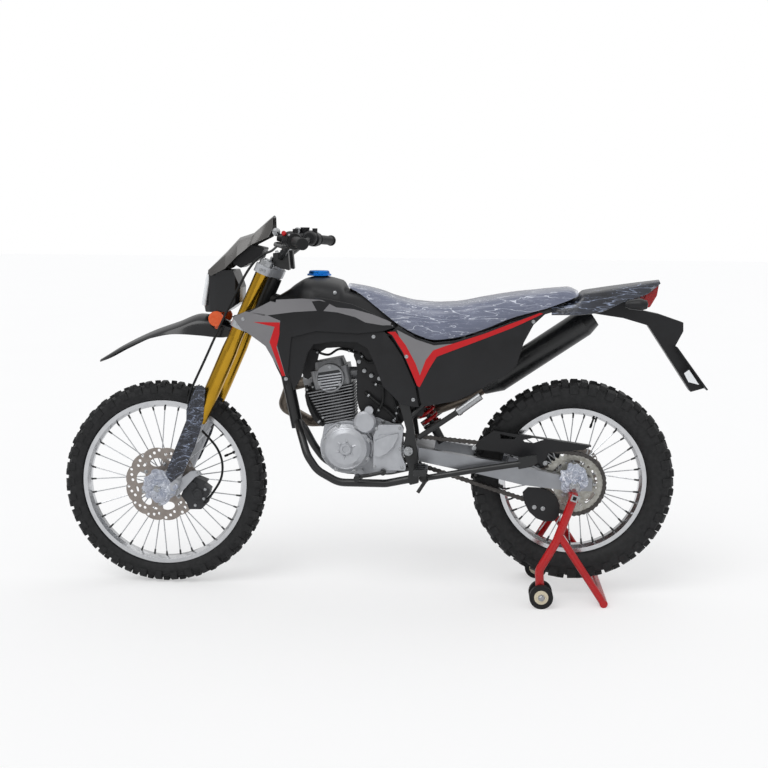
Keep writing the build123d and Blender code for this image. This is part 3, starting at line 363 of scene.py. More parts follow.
# Film wound round the black fork guards: dark, marbled by thin bluish white wrinkles that are painted
# highlights.
WRAPPED_GUARD = PackingFilm("polyethylene film over polypropylene", "1b1d23", 0.2, second="30343f",
    patch_mm=16, patch_share=0.9, grain_mm=9, grain_depth_mm=1.0, uneven=0.05, pleat_mm=22, pleat_width=0.012,
    lean=60, draw=(0.4, 1.0, 1.0), veil=1.0, pleat_highlight="8f99b0")
# Film over the black tail: long creases drawn out along the machine, pale with a painted highlight.
WRAPPED_TAIL = PackingFilm("polyethylene film over black panel", "191b20", 0.2, second="343946", patch_mm=70,
    patch_share=0.8, grain_mm=14, grain_depth_mm=0.5, uneven=0.05, pleat_mm=34, pleat_width=0.012, lean=10,
    draw=(0.16, 1.0, 1.0), veil=1.0, pleat_highlight="8f99b0")
# Moulded acrylic lenses.
RED_LENS = Lens("moulded acrylic red", "a80d12", 0.1, second="8c090d", grain_mm=3, grain_depth_mm=0.25,
    clear=0.25, uneven=0.03)
ORANGE_LENS = Lens("moulded acrylic orange", "e2551a", 0.15, second="f07a3e", patch_mm=6, grain_mm=2.4,
    grain_depth_mm=0.3, clear=0.15, uneven=0.03)
CLEAR_LENS = Lens("moulded polycarbonate clear", "e8ebee", 0.06, second="dfe4ea", grain_mm=5,
    grain_depth_mm=0.05, clear=0.7, uneven=0.02)
# Diffuser strip in the headlight.
WHITE_DIFFUSER = Finish("opal polycarbonate", "e6e8ea", 0.3, second="d6dadd", patch_mm=20, grain_mm=2,
    grain_depth_mm=0.01)


# ------------------------------------------------------------------ mesh tools
class Side(Enum):
    """The rider's left and right, as the sign of Y."""

    LEFT = -1
    RIGHT = 1


def spot(x: float, y: float, z: float) -> Vector:
    """Return a point that is given in mm, in metres."""
    return Vector((x, y, z)) * MM


def face_up(mesh: BMesh) -> None:
    """Turn the faces of a crowned skin so that they look up."""
    bmesh.ops.recalc_face_normals(mesh, faces=mesh.faces)
    if sum(f.normal.z for f in mesh.faces) < 0:
        bmesh.ops.reverse_faces(mesh, faces=mesh.faces)


@dataclass
class Maker:
    """Turns meshes into named pieces that ride on a body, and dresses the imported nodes."""

    frame: dict

    def piece(self, name: str, mesh: BMesh, body: Body, finish: Finish,
            hides: tuple[str, ...] = (), crease: float = 35.0) -> Object:
        """Make a piece from a mesh, put it on its body and report it.

        Args:
            name: the piece's own name.
            mesh: its mesh, in metres; it is used up.
            body: the body that it rides on.
            finish: its surface.
            hides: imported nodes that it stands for.
            crease: angle in degrees above which an edge stays sharp.

        Returns:
            The new object.
        """
        bmesh.ops.recalc_face_normals(mesh, faces=mesh.faces)
        data = bpy.data.meshes.new(name)
        mesh.to_mesh(data)
        mesh.free()
        data.shade_smooth()
        data.set_sharp_from_angle(angle=radians(crease))
        data.materials.append(finish.build())
        made = bpy.data.objects.new(name, data)
        bpy.context.scene.collection.objects.link(made)
        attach(made, body.value)
        if hides:
            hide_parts(*hides)
        log.info("%s: %d faces", name, len(data.polygons))
        return made

    def dress(self, finish: Finish, *nodes: str) -> None:
        """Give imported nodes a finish."""
        for node in nodes:
            for slot in self.frame["nodes"][node].material_slots:
                slot.material = finish.build()
            log.info("%s: %s", node, finish.name)

    def tree(self, *nodes: str) -> BVHTree:
        """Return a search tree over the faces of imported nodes."""
        joined = bmesh.new()
        for node in nodes:
            joined.from_mesh(self.frame["nodes"][node].data)
        found = BVHTree.FromBMesh(joined)
        joined.free()
        return found

    def rounded(self, node: str, name: str, body: Body, finish: Finish,
            width: float) -> Object:
        """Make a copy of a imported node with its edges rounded, which stands for it.

        Args:
            node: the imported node.
            name: name of the rounded piece.
            body: the body that it rides on.
            finish: its surface.
            width: width of the rounding, in mm.

        Returns:
            The new object.
        """
        mesh = bmesh.new()
        mesh.from_mesh(self.frame["nodes"][node].data)
        bmesh.ops.remove_doubles(mesh, verts=mesh.verts, dist=1e-5)
        bmesh.ops.dissolve_limit(mesh, angle_limit=radians(1.5), verts=mesh.verts, edges=mesh.edges)
        edges = [e for e in mesh.edges if len(e.link_faces) == 2 and e.calc_face_angle(0) > radians(32)]
        bmesh.ops.bevel(mesh, geom=edges, offset=width * MM, segments=3, profile=0.5, affect="EDGES",
            clamp_overlap=True)
        return self.piece(name, mesh, body, finish, hides=(node,), crease=40)


def add_rod(mesh: BMesh, start: Vector, end: Vector, radius: float, tip: float | None = None,
        sides: int = 12) -> list[bmesh.types.BMVert]:
    """Add a round or many-sided rod between two points.

    Args:
        mesh: mesh that takes the rod.
        start: centre of its first end, in metres.
        end: centre of its last end, in metres.
        radius: radius at the start, in mm.
        tip: radius at the end, in mm; the same as the start if left out.
        sides: number of sides.

    Returns:
        The rod's vertices.
    """
    start, end = Vector(start), Vector(end)
    along = end - start
    turn = along.to_track_quat("Z", "Y").to_matrix().to_4x4()
    place = Matrix.Translation((start + end) / 2) @ turn
    made = bmesh.ops.create_cone(
        mesh, cap_ends=True, segments=sides, radius1=radius * MM,
        radius2=(radius if tip is None else tip) * MM,
        depth=along.length, matrix=place)
    return made["verts"]


def add_bolt(mesh: BMesh, at: tuple[float, float, float], out: tuple[float, float, float],
        radius: float = 5.0, height: float = 4.0) -> None:
    """Add a flanged hexagon screw head.

    Args:
        mesh: mesh that takes the head.
        at: point on the surface under the head, in mm.
        out: direction away from the surface.
        radius: half the width across the hexagon's corners, in mm.
        height: height of the head, in mm.
    """
    foot = Vector(at) * MM
    away = Vector(out).normalized() * MM
    add_rod(mesh, foot - away, foot + away * height * 0.3, radius * 1.45, radius * 1.3, sides=20)
    add_rod(mesh, foot, foot + away * height * 0.85, radius, sides=6)
    add_rod(mesh, foot + away * height * 0.85, foot + away * height, radius, radius * 0.8, sides=6)


def add_strip(mesh: BMesh, rows: list[list[Vector]], closed_across: bool = False,
        closed_along: bool = False, cap: bool = False) -> None:
    """Join rows of points into a skin of four-sided faces.

    Args:
        mesh: mesh that takes the skin.
        rows: rows of points, all of one length, in metres.
        closed_across: whether each row closes on itself.
        closed_along: whether the last row joins the first.
        cap: whether the first and last rows are filled.
    """
    made = [[mesh.verts.new(p) for p in row] for row in rows]
    pairs = list(zip(made, made[1:])) + ([(made[-1], made[0])] if closed_along else [])
    for a, b in pairs:
        count = len(a) if closed_across else len(a) - 1
        for i in range(count):
            j = (i + 1) % len(a)
            mesh.faces.new((a[i], a[j], b[j], b[i]))
    if cap:
        mesh.faces.new(made[0])
        mesh.faces.new(list(reversed(made[-1])))


def ring(centre: Vector, along: Vector, radius: float, sides: int,
        start: Vector | None = None) -> list[Vector]:
    """Return the points of a circle round a line.

    Args:
        centre: middle of the circle, in metres.
        along: direction of the line.
        radius: in metres.
        sides: number of points.
        start: direction of the first point; any across the line if left out.

    Returns:
        The circle's points.
    """
    along = along.normalized()
    across = (start or along.orthogonal()).normalized()
    up = along.cross(across).normalized()
    across = up.cross(along)
    return [centre + (across * cos(a) + up * sin(a)) * radius
            for a in (2 * pi * i / sides for i in range(sides))]


def add_pipe(mesh: BMesh, points: list[Vector], radius: float, sides: int = 10,
        closed: bool = False) -> None:
    """Add a round pipe that follows points.

    Args:
        mesh: mesh that takes the pipe.
        points: its centreline, in metres.
        radius: in mm.
        sides: number of sides.
        closed: whether the last point joins the first.
    """
    rows, across = [], None
    for i, point in enumerate(points):
        before = points[i - 1] if i or closed else points[i]
        after = points[(i + 1) % len(points)] if closed or i + 1 < len(points) else points[i]
        along = (after - before).normalized()
        across = along.orthogonal() if across is None else (across - along * across.dot(along)).normalized()
        rows.append(ring(point, along, radius * MM, sides, across))
    add_strip(mesh, rows, closed_across=True, closed_along=closed, cap=not closed)


def smooth_between(values: list[float], places: list[float], at: float) -> float:
    """Read a smooth curve through values, without overshoot between them.

    Args:
        values: the known values.
        places: where they are known, rising.
        at: where to read the curve.

    Returns:
        The value there.
    """
    if at <= places[0]:
        return values[0]
    if at >= places[-1]:
        return values[-1]
    i = max(k for k, place in enumerate(places[:-1]) if place <= at)
    slopes = [(b - a) / (q - p) for a, b, p, q in zip(values, values[1:], places, places[1:])]

    def lean(k: int) -> float:
        """Return the slope at a known place.

        Args:
            k: number of the known place.

        Returns:
            The slope.
        """
        if k == 0 or k == len(values) - 1:
            return slopes[0] if k == 0 else slopes[-1]
        a, b = slopes[k - 1], slopes[k]
        return 0.0 if a * b <= 0 else 2 * a * b / (a + b)

    step = places[i + 1] - places[i]
    t = (at - places[i]) / step
    h00, h10 = 2 * t**3 - 3 * t**2 + 1, t**3 - 2 * t**2 + t
    h01, h11 = -2 * t**3 + 3 * t**2, t**3 - t**2
    return h00 * values[i] + h10 * step * lean(i) + h01 * values[i + 1] + h11 * step * lean(i + 1)


@dataclass
class CrownedSkin:
    """A crowned skin along the machine, drawn smoothly through a table of sections.

    Each station is (X, half width at the crown's edge, half width at the foot, crown Z, edge Z,
    foot Z), in mm.
    """

    stations: list[tuple[float, float, float, float, float, float]]
    spacing: float = 9.0  # distance between rows of the mesh, in mm
    shoulder: int = 3  # how many times the corner over the edge is softened
    shrink: float = 0.0  # how far the skin stays inside its sections, in mm

    def section(self, x: float) -> list[Vector]:
        """Return one row of points, from the left foot over the crown to the right foot.

        Args:
            x: place of the row, in mm.

        Returns:
            The row's points, in metres.
        """
        places = [s[0] for s in self.stations]
        edge, foot, crown, edge_z, foot_z = (
            smooth_between([s[k] for s in self.stations], places, x) for k in range(1, 6))
        inner, top = edge - self.shrink, crown - self.shrink
        flank = [(foot - self.shrink + (inner - foot + self.shrink) * t,
            foot_z + (edge_z - self.shrink - foot_z) * t) for t in (0, 0.15, 0.35, 0.55, 0.75, 0.9)]
        crest = [(inner * t, top + (edge_z - self.shrink - top) * t * t) for t in (1, 0.86, 0.7, 0.5, 0.25,
            0)]
        half = [Vector((x, -y, z)) for y, z in flank + crest]
        row = half + [Vector((p.x, -p.y, p.z)) for p in reversed(half[:-1])]
        for _ in range(self.shoulder):
            row = [row[0]] + [(a + b * 2 + c) / 4 for a, b, c in zip(row, row[1:], row[2:])] + [row[-1]]
        return [p * MM for p in row]

    def rows(self) -> list[list[Vector]]:
        """Return all rows of the skin, front to rear."""
        first, last = self.stations[0][0], self.stations[-1][0]
        count = max(2, round((last - first) / self.spacing))
        return [self.section(first + (last - first) * i / count) for i in range(count + 1)]

    def shell(self, wall: float) -> BMesh:
        """Return the skin as an open shell with a wall, in mm.

        Args:
            wall: thickness of the wall, in mm.

        Returns:
            The shell.
        """
        outer = self.rows()
        mesh = bmesh.new()
        add_strip(mesh, outer)
        face_up(mesh)
        bmesh.ops.solidify(mesh, geom=mesh.faces[:], thickness=wall * MM)
        return mesh

    def solid(self) -> BMesh:
        """Return the skin as a closed form, flat underneath."""
        mesh = bmesh.new()
        add_strip(mesh, self.rows(), closed_across=True, cap=True)
        return mesh


def softened(loop: list[tuple[float, float]], times: int = 2) -> list[tuple[float, float]]:
    """Cut the corners of a closed outline so that it runs round.

    Args:
        loop: the outline's corners.
        times: how often the corners are cut.

    Returns:
        The rounder outline.
    """
    for _ in range(times):
        pairs = list(zip(loop, loop[1:] + loop[:1]))
        loop = [(a[0] + (b[0] - a[0]) * t, a[1] + (b[1] - a[1]) * t) for a, b in pairs for t in (0.25, 0.75)]
    return loop


def add_punched(mesh: BMesh, outline: list[tuple[float, float]],
        holes: list[list[tuple[float, float]]], low: float, high: float) -> None:
    """Add an upright plate with holes punched through it.

    Args:
        mesh: mesh that takes the plate.
        outline: the plate's (X, Z) outline, in mm.
        holes: the outline of each hole.
        low: Y of one face, in mm.
        high: Y of the other face.
    """
    curve = bpy.data.curves.new("plate", "CURVE")
    curve.dimensions, curve.fill_mode, curve.extrude = "2D", "BOTH", abs(high - low) / 2 * MM
    for loop in (outline, *holes):
        spline = curve.splines.new("POLY")
        spline.points.add(len(loop) - 1)
        spline.use_cyclic_u = True
        for point, (x, z) in zip(spline.points, loop):
            point.co = (x * MM, z * MM, 0, 1)
    holder = bpy.data.objects.new("plate", curve)
    flat = bpy.data.meshes.new_from_object(holder)
    flat.transform(Matrix(((1, 0, 0, 0), (0, 0, -1, (low + high) / 2 * MM), (0, 1, 0, 0), (0, 0, 0, 1))))
    mesh.from_mesh(flat)
    bpy.data.meshes.remove(flat)
    bpy.data.objects.remove(holder)
    bpy.data.curves.remove(curve)
    bmesh.ops.remove_doubles(mesh, verts=mesh.verts, dist=1e-6)


def add_lathe(mesh: BMesh, x: float, z: float, profile: list[tuple[float, float]],
        sides: int = 40, closed: bool = False) -> None:
    """Add a form turned about a line across the machine.

    Args:
        mesh: mesh that takes the form.
        x: X of the line, in mm.
        z: Z of the line, in mm.
        profile: (Y, radius) points, in mm.
        sides: number of sides.
        closed: whether the profile is a loop, as of a bush; otherwise its ends are filled.
    """
    rows = [[Vector((x + r * cos(a), y,
        z + r * sin(a))) * MM for a in (2 * pi * i / sides for i in range(sides))] for y, r in profile]
    add_strip(mesh, rows, closed_across=True, closed_along=closed, cap=not closed)


def crumple(mesh: BMesh, depth: float, size: float, seed: float) -> None:
    """Push the points of a thin sheet in and out into sharp folds.

    Args:
        mesh: the sheet.
        depth: height of the folds, in mm.
        size: spacing of the folds, in mm.
        seed: place in the noise that the folds are taken from.
    """
    mesh.normal_update()
    shifts = []
    for vert in mesh.verts:
        place = vert.co / (size * MM) + Vector((seed, -seed, seed * 0.5))
        fold = abs(noise.noise(place)) * 2 + abs(noise.noise(place * 2.3)) - 0.6
        shifts.append(vert.normal * fold * depth * MM)
    for vert, shift in zip(mesh.verts, shifts):
        vert.co += shift
# ------------------------------------------------------------------ wheels
@dataclass
class TreadRow:
    """One ring of rubber blocks round a tyre."""

    middle: float  # distance of the blocks' middle from the tyre's middle, in mm
    width: float  # across the tyre, in mm
    length: float  # round the tyre, in mm
    shift: float  # share of a pitch by which the ring is turned
    lean: float = 0.0  # how far the blocks are turned, in degrees
    reach: float = 0.0  # how far the blocks run down the sidewall, in mm


@dataclass
class Wheel:
    """A spoked wheel with a block tread tyre."""

    name: str
    body: Body
    hub_x: float
    hub_z: float
    tyre_r: float
    half_width: float
    flange_r: float
    half_rim: float
    pitch_count: int
    block_height: float
    rows: tuple[TreadRow, ...]
    hub_y: float
    hub_r: float
    valve_angle: float  # in degrees, from the rear over the top
    spoke_count: int = 36
    spoke_lean: float = 22.0

    def place(self, y: float, radius: float, angle: float) -> Vector:
        """Return a point of the wheel from its distance to the side, radius and angle."""
        return Vector((self.hub_x + radius * cos(angle), y, self.hub_z + radius * sin(angle))) * MM

    def crown(self, y: float) -> float:
        """Return the radius of the tread's crown at a distance from the middle, in mm."""
        share = abs(y) / self.half_width
        return self.tyre_r - 17 * share**2.4

    def build(self, maker: Maker) -> None:
        """Build the tyre, its blocks, the spoke nipples and the valve.

        Args:
            maker: makes the pieces.
        """
        self.build_tyre(maker)
        self.build_nipples(maker)
        self.build_valve(maker)

    def build_tyre(self, maker: Maker) -> None:
        """Build the casing with its sidewall ribs and the rows of blocks.

        Args:
            maker: makes the pieces.
        """
        bead = self.flange_r - 7
        base = self.block_height
        wall = self.tyre_r - self.flange_r
        half = [
            (self.half_rim - 5, bead), (self.half_rim - 4.5, self.flange_r + 1),
            (self.half_rim + 3, self.flange_r + 3),
            (self.half_rim + 6, self.flange_r + 5), (self.half_width - 8, self.flange_r + 0.22 * wall),
            (self.half_width - 5, self.flange_r + 0.38 * wall),
            (self.half_width - 5, self.flange_r + 0.5 * wall),
            (self.half_width - 7.5, self.crown(self.half_width) - 10),
        ]
        crest = [(self.half_width * t, self.crown(self.half_width * t) - base) for t in (0.8, 0.66, 0.5, 0.3,
            0.1)]
        outline = half + crest
        outline += [(-y, r) for y, r in reversed(outline)]
        mesh = bmesh.new()
        sides = 180
        rows = [[self.place(y, r, 2 * pi * i / sides) for y, r in outline] for i in range(sides)]
        add_strip(mesh, rows, closed_across=True, closed_along=True)
        blocks = bmesh.new()
        for row in self.rows:
            for i in range(self.pitch_count):
                angle = 2 * pi * (i + row.shift) / self.pitch_count
                for side in (-1, 1) if row.middle else (1,):
                    self.add_block(blocks, row, angle + (pi / self.pitch_count if side > 0 else 0), side)
        bmesh.ops.bevel(blocks, geom=blocks.edges[:], offset=1.1 * MM, segments=1, affect="EDGES")
        joined = bpy.data.meshes.new("blocks")
        blocks.to_mesh(joined)
        blocks.free()
        mesh.from_mesh(joined)
        bpy.data.meshes.remove(joined)
        maker.piece(f"{self.name}_block_tyre", mesh, self.body, TYRE_RUBBER,
            hides=(f"{self.name}_tyre",), crease=28)

    def add_block(self, mesh: BMesh, row: TreadRow, angle: float, side: int) -> None:
        """Add one block that stands on the casing; the outer ones run down the sidewall.

        Args:
            mesh: mesh of all blocks.
            row: the ring that the block is in.
            angle: its place round the tyre, in radians.
            side: -1 or 1, the half of the tyre.
        """
        corners = []
        lean = radians(row.lean) * side
        for top in (False, True):
            grow = 0.0 if top else 1.4
            for a, b in ((-1, -1), (1, -1), (1, 1), (-1, 1)):
                across = side * a * (row.width / 2 + grow)
                along = b * (row.length / 2 + grow)
                y = side * row.middle + across * cos(lean) - along * sin(lean)
                y = max(-self.half_width, min(self.half_width, y))
                arc = across * sin(lean) + along * cos(lean)
                drop = row.reach if row.reach and a > 0 else self.block_height + 2
                radius = self.crown(y) - (0 if top else drop)
                if row.reach and a > 0 and not top:
                    y = side * (self.half_width - 2.5)
                corners.append(mesh.verts.new(self.place(y, radius, angle + arc / self.tyre_r)))
        low, high = corners[:4], corners[4:]
        mesh.faces.new(high)
        mesh.faces.new(list(reversed(low)))
        for i in range(4):
            j = (i + 1) % 4
            mesh.faces.new((low[i], low[j], high[j], high[i]))

    def build_nipples(self, maker: Maker) -> None:
        """Build the dark nipple at the rim's end and the bent head at the hub's end of each spoke.

        Args:
            maker: makes the pieces.
        """
        mesh = bmesh.new()
        well = self.flange_r - 22
        for i in range(self.spoke_count):
            side, lean = ((-1, 1), (1, 1), (-1, -1), (1, -1))[i % 4]
            rim_angle = 2 * pi * i / self.spoke_count
            hub_angle = rim_angle + radians(self.spoke_lean) * lean
            rim = self.place(-side * 4, well + 1, rim_angle)
            hub = self.place(-side * self.hub_y, self.hub_r - 5, hub_angle)
            along = (hub - rim).normalized() * MM
            add_rod(mesh, rim, rim + along * 15, 3.6, 2.9, sides=8)
            outer = Vector((0, -side * MM, 0))
            add_rod(mesh, hub - outer * 2, hub + outer * 4.5, 3.4, sides=8)
        maker.piece(f"{self.name}_spoke_nipples", mesh, self.body, BLACK_STEEL)

    def build_valve(self, maker: Maker) -> None:
        """Build the tyre valve, which stands in from the rim.

        Args:
            maker: makes the pieces.
        """
        mesh = bmesh.new()
        angle = radians(self.valve_angle)
        well = self.flange_r - 22
        add_rod(mesh, self.place(0, well + 2, angle), self.place(0, well - 6, angle), 6, 6, sides=6)
        add_rod(mesh, self.place(0, well - 6, angle), self.place(0, well - 30, angle), 3.2, 3.2)
        add_rod(mesh, self.place(0, well - 26, angle), self.place(0, well - 38, angle), 4.6, 3.8, sides=14)
        maker.piece(f"{self.name}_valve", mesh, self.body, MOULDED_RUBBER)


FRONT_WHEEL = Wheel(
    "front", Body.FRONT_WHEEL, -724, 346, 346, 42, 280.5, 25, 38, 11,
    (TreadRow(0, 25, 17, 0.0), TreadRow(18, 14, 18, 0.5, 10), TreadRow(34.5, 14, 25, 0.08, -8, 23)), 30, 36,
    24)
REAR_WHEEL = Wheel(
    "rear", Body.REAR_WHEEL, 646, 384, 336, 56, 242.5, 33, 32, 13,
    (TreadRow(0, 32, 20, 0.0), TreadRow(26, 20, 22, 0.5, 8), TreadRow(46.5, 18, 30, 0.08, -6, 27)), 34, 52,
    72)


@dataclass
class BrakeDisc:
    """A drilled disc with a scalloped rim and a bored centre, bolted to the hub."""

    name: str
    body: Body
    x: float
    z: float
    radius: float
    y_low: float
    y_high: float
    out: int  # side that the screw heads are on, as the sign of Y
    boss: tuple[tuple[float, float], ...] = ()  # (Y, radius) loop of the ring that meets the hub
    lobes: int = 12
    bore: float = 28.0

    def at(self, radius: float, angle: float) -> tuple[float, float]:
        """Return the (X, Z) of a radius, in mm, and an angle, in degrees."""
        turn = radians(angle)
        return self.x + radius * cos(turn), self.z + radius * sin(turn)

    def build(self, maker: Maker) -> None:
        """Build the disc and its screws.

        Args:
            maker: makes the pieces.
        """
        disc, screws = bmesh.new(), bmesh.new()
        r, pitch = self.radius, 360 / self.lobes
        rim = []
        for i in range(self.lobes * 10):
            wave = abs(sin(pi * i / 10)) ** 0.6
            rim.append(self.at(r - 5.5 * (1 - wave), i * pitch / 10))
        holes = [[self.at(self.bore, a) for a in range(0, 360, 10)]]
        for lobe in range(self.lobes):
            for shift, share in ((5, 0.92), (14, 0.865), (23, 0.81)):
                x, z = self.at(r * share, lobe * pitch + shift)
                holes.append([(x + 0.042 * r * cos(a),
                    z + 0.042 * r * sin(a)) for a in (pi * k / 6 for k in range(12))])
        for k in range(6):
            turn = 105 + 60 * k
            window = ((0.50, -15), (0.50, 8), (0.62, 17), (0.715, 12), (0.735, -4), (0.67, -17))
            holes.append(softened([self.at(r * share, turn + a) for share, a in window]))
            slot = ((0.665, 22), (0.665, 34), (0.73, 33), (0.73, 21))
            holes.append(softened([self.at(r * share, turn + a) for share, a in slot]))
            x, z = self.at(r * 0.55, turn + 38)
            face = self.y_low if self.out < 0 else self.y_high
            add_bolt(screws, (x, face, z), (0, self.out, 0), 5, 4)
        add_punched(disc, rim, holes, self.y_low, self.y_high)
        if self.boss:
            add_lathe(disc, self.x, self.z, list(self.boss), closed=True)
        maker.piece(f"{self.name}_drilled_disc", disc, self.body, GROUND_STAINLESS,
            hides=(f"{self.name}_disc",), crease=28)
        maker.piece(f"{self.name}_disc_screws", screws, self.body, ZINC_PLATE)


FRONT_DISC = BrakeDisc("front", Body.FRONT_WHEEL, -724, 346, 126, -56, -52, -1,
    ((-52, 28), (-52, 46), (-42, 46), (-35.2, 34), (-35.2, 28)))
REAR_DISC = BrakeDisc("rear", Body.REAR_WHEEL, 646, 384, 110, 68, 72, 1)


@dataclass
class Drive:
    """The roller chain round both sprockets."""

    y: float = -74.0
    front: tuple[float, float, float] = (44.0, 503.0, 35.5)  # X, Z and radius
    rear: tuple[float, float, float] = (646.0, 384.0, 101.0)
    pitch: float = 15.875
    plate_half: float = 7.0
    gap: float = 10.0
    teeth: int = 40

    def route(self) -> list[Vector]:
        """Return the pins' places, evenly spaced along the pitch line, in mm."""
        (x0, z0, r0), (x1, z1, r1) = self.front, self.rear
        line = math.atan2(z1 - z0, x1 - x0)
        lean = math.asin((r1 - r0) / math.hypot(x1 - x0, z1 - z0))
        upper, lower = line + pi / 2 + lean, line - pi / 2 - lean
        dense: list[tuple[float, float]] = []
        for i in range(121):
            a = upper + (lower - upper) * i / 120
            dense.append((x1 + r1 * cos(a), z1 + r1 * sin(a)))
        start, end = lower, upper - 2 * pi
        for i in range(61):
            a = start + (end - start) * i / 60
            dense.append((x0 + r0 * cos(a), z0 + r0 * sin(a)))
        dense.append(dense[0])
        steps = [math.dist(a, b) for a, b in zip(dense, dense[1:])]
        count = round(sum(steps) / self.pitch / 2) * 2
        spacing, found, gone = sum(steps) / count, [], 0.0
        for (a, b), step in zip(zip(dense, dense[1:]), steps):
            while step and len(found) < count and len(found) * spacing <= gone + step:
                t = (len(found) * spacing - gone) / step
                found.append(Vector((a[0] + (b[0] - a[0]) * t, self.y, a[1] + (b[1] - a[1]) * t)))
            gone += step
        return found

    def add_plate(self, mesh: BMesh, a: Vector, b: Vector, y: float, thick: float) -> None:
        """Add one waisted link plate between two pins.

        Args:
            mesh: mesh that takes the plate.
            a: first pin, in mm.
            b: second pin, in mm.
            y: middle of the plate on Y, in mm.
            thick: its thickness, in mm.
        """
        along = (b - a).normalized()
        up = Vector((-along.z, 0, along.x))
        half = (b - a).length / 2
        shape = []
        for end in (1, -1):
            for k in range(7):
                angle = radians(-90 + 30 * k)
                out = end * (half + self.plate_half * cos(angle))
                shape.append((out, end * self.plate_half * sin(angle)))
            shape.append((0, end * (self.plate_half - 2.2)))
        middle = (a + b) / 2
        rows = [[(middle + along * u + up * v + Vector((0, y - self.y + side * thick / 2, 0))) * MM for u,
            v in shape] for side in (-1, 1)]
        add_strip(mesh, rows, closed_across=True, cap=True)

    def build(self, maker: Maker) -> None:
        """Build the links, rollers and pins.

        Args:
            maker: makes the pieces.
        """
        plates, pins = bmesh.new(), bmesh.new()
        places = self.route()
        for i, here in enumerate(places):
            after = places[(i + 1) % len(places)]
            outward = self.gap / 2 + (0.8 if i % 2 else 2.3)
            for side in (-1, 1):
                self.add_plate(plates, here, after, self.y + side * outward, 1.4)
            add_rod(pins, (here - Vector((0, 4.2, 0))) * MM, (here + Vector((0, 4.2, 0))) * MM, 4.9, sides=10)
            add_rod(pins, (here - Vector((0, 8.4, 0))) * MM, (here + Vector((0, 8.4, 0))) * MM, 2.4, sides=8)
        maker.piece("chain_link_plates", plates, Body.CHASSIS, CHAIN_STEEL, hides=("chain",))
        maker.piece("chain_rollers", pins, Body.CHASSIS, CHAIN_STEEL)
        self.build_sprocket(maker, places)

    def build_sprocket(self, maker: Maker, places: list[Vector]) -> None:
        """Build the toothed and slotted rear sprocket, with its teeth between the rollers.

        Args:
            maker: makes the pieces.
            places: the chain's pins, in mm.
        """
        x0, z0, radius = self.rear
        first = math.atan2(places[0].z - z0, places[0].x - x0)
        pitch = 2 * pi / self.teeth

        def at(r: float, angle: float) -> tuple[float, float]:
            """Return the (X, Z) of a radius and an angle in radians."""
            return x0 + r * cos(angle), z0 + r * sin(angle)

        rim = []
        for i in range(self.teeth):
            seat = first + i * pitch
            for share, r in ((-0.2, radius - 3.4), (0, radius - 5.2), (0.2, radius - 3.4),
                    (0.4, radius + 2.6), (0.6, radius + 2.6)):
                rim.append(at(r, seat + share * pitch))
        holes = [[at(28, radians(a)) for a in range(0, 360, 10)]]
        screws, plate = bmesh.new(), bmesh.new()
        for k in range(6):
            turn = radians(60 * k + 20)
            slot = ([at(78, turn + radians(a)) for a in range(-18, 19, 4)] +
                    [at(68, turn + radians(a)) for a in range(18, -19, -4)])
            holes.append(softened(slot, 1))
            x, z = at(73, turn + radians(30))
            holes.append([(x + 4.5 * cos(a),
                z + 4.5 * sin(a)) for a in (pi * n / 6 for n in range(12))])
            x, z = at(48, turn + radians(30))
            add_bolt(screws, (x, self.y - 3, z), (0, -1, 0), 6, 5)
        add_punched(plate, rim, holes, self.y - 3, self.y + 3)
        maker.piece("rear_sprocket_plate", plate, Body.REAR_WHEEL, PLATED_SPROCKET,
            hides=("rear_sprocket",), crease=28)
        maker.piece("rear_sprocket_screws", screws, Body.REAR_WHEEL, ZINC_PLATE)


# ------------------------------------------------------------------ bodywork
TANK_STATIONS = [
    (-352, 34, 40, 974, 966, 930), (-300, 50, 58, 1006, 992, 905), (-278, 66, 80, 1024, 1004, 905),
    (-240, 96, 118, 1047, 1012, 905), (-200, 106, 130, 1056, 1016, 905), (-119, 104, 130, 1040, 1006, 905),
    (-104, 98, 128, 1010, 994, 905), (-60, 84, 122, 1002, 988, 905), (0, 78, 112, 984, 966, 905),
    (60, 74, 98, 948, 922, 890),
]
SEAT_STATIONS = [
    (-100, 50, 58, 1024, 1018, 1014), (-60, 58, 72, 1019, 1008, 994), (0, 68, 90, 1006, 992, 950),
    (62, 78, 100, 985, 970, 904), (130, 92, 112, 971, 954, 868), (185, 104, 118, 967, 950, 853),
    (256, 110, 122, 970, 953, 862), (345, 108, 120, 987, 970, 890), (433, 100, 112, 1002, 986, 926),
    (551, 88, 100, 1016, 1001, 960), (617, 76, 88, 1021, 1010, 984), (645, 64, 74, 1010, 1004, 996),
]
FENDER_STATIONS = [
    (-943, 9, 12, 760, 757, 753), (-920, 26, 30, 774, 770, 762), (-860, 44, 50, 811, 803, 795),
    (-758, 54, 62, 861, 848, 840), (-674, 58, 67, 892, 874, 855), (-590, 56, 67, 921, 899, 851),
    (-520, 52, 62, 906, 888, 845), (-480, 46, 54, 886, 874, 850), (-446, 40, 46, 874, 864, 854),
]
COWL_STATIONS = [
    (560, 80, 98, 971, 962, 938), (640, 80, 96, 986, 978, 938), (664, 74, 94, 1013, 1001, 940),
    (704, 70, 90, 1021, 1006, 945), (800, 54, 72, 1036, 1021, 984), (866, 40, 54, 1045, 1034, 1005),
    (908, 30, 40, 1050, 1045, 1041),
]


@dataclass
class Graphic:
    """A vinyl film cut to an outline and laid on the side panels."""

    name: str
    outline: list[tuple[float, float]]  # (X, Z) in mm
    finish: Finish
    lift: float = 0.5  # distance from the panel, in mm


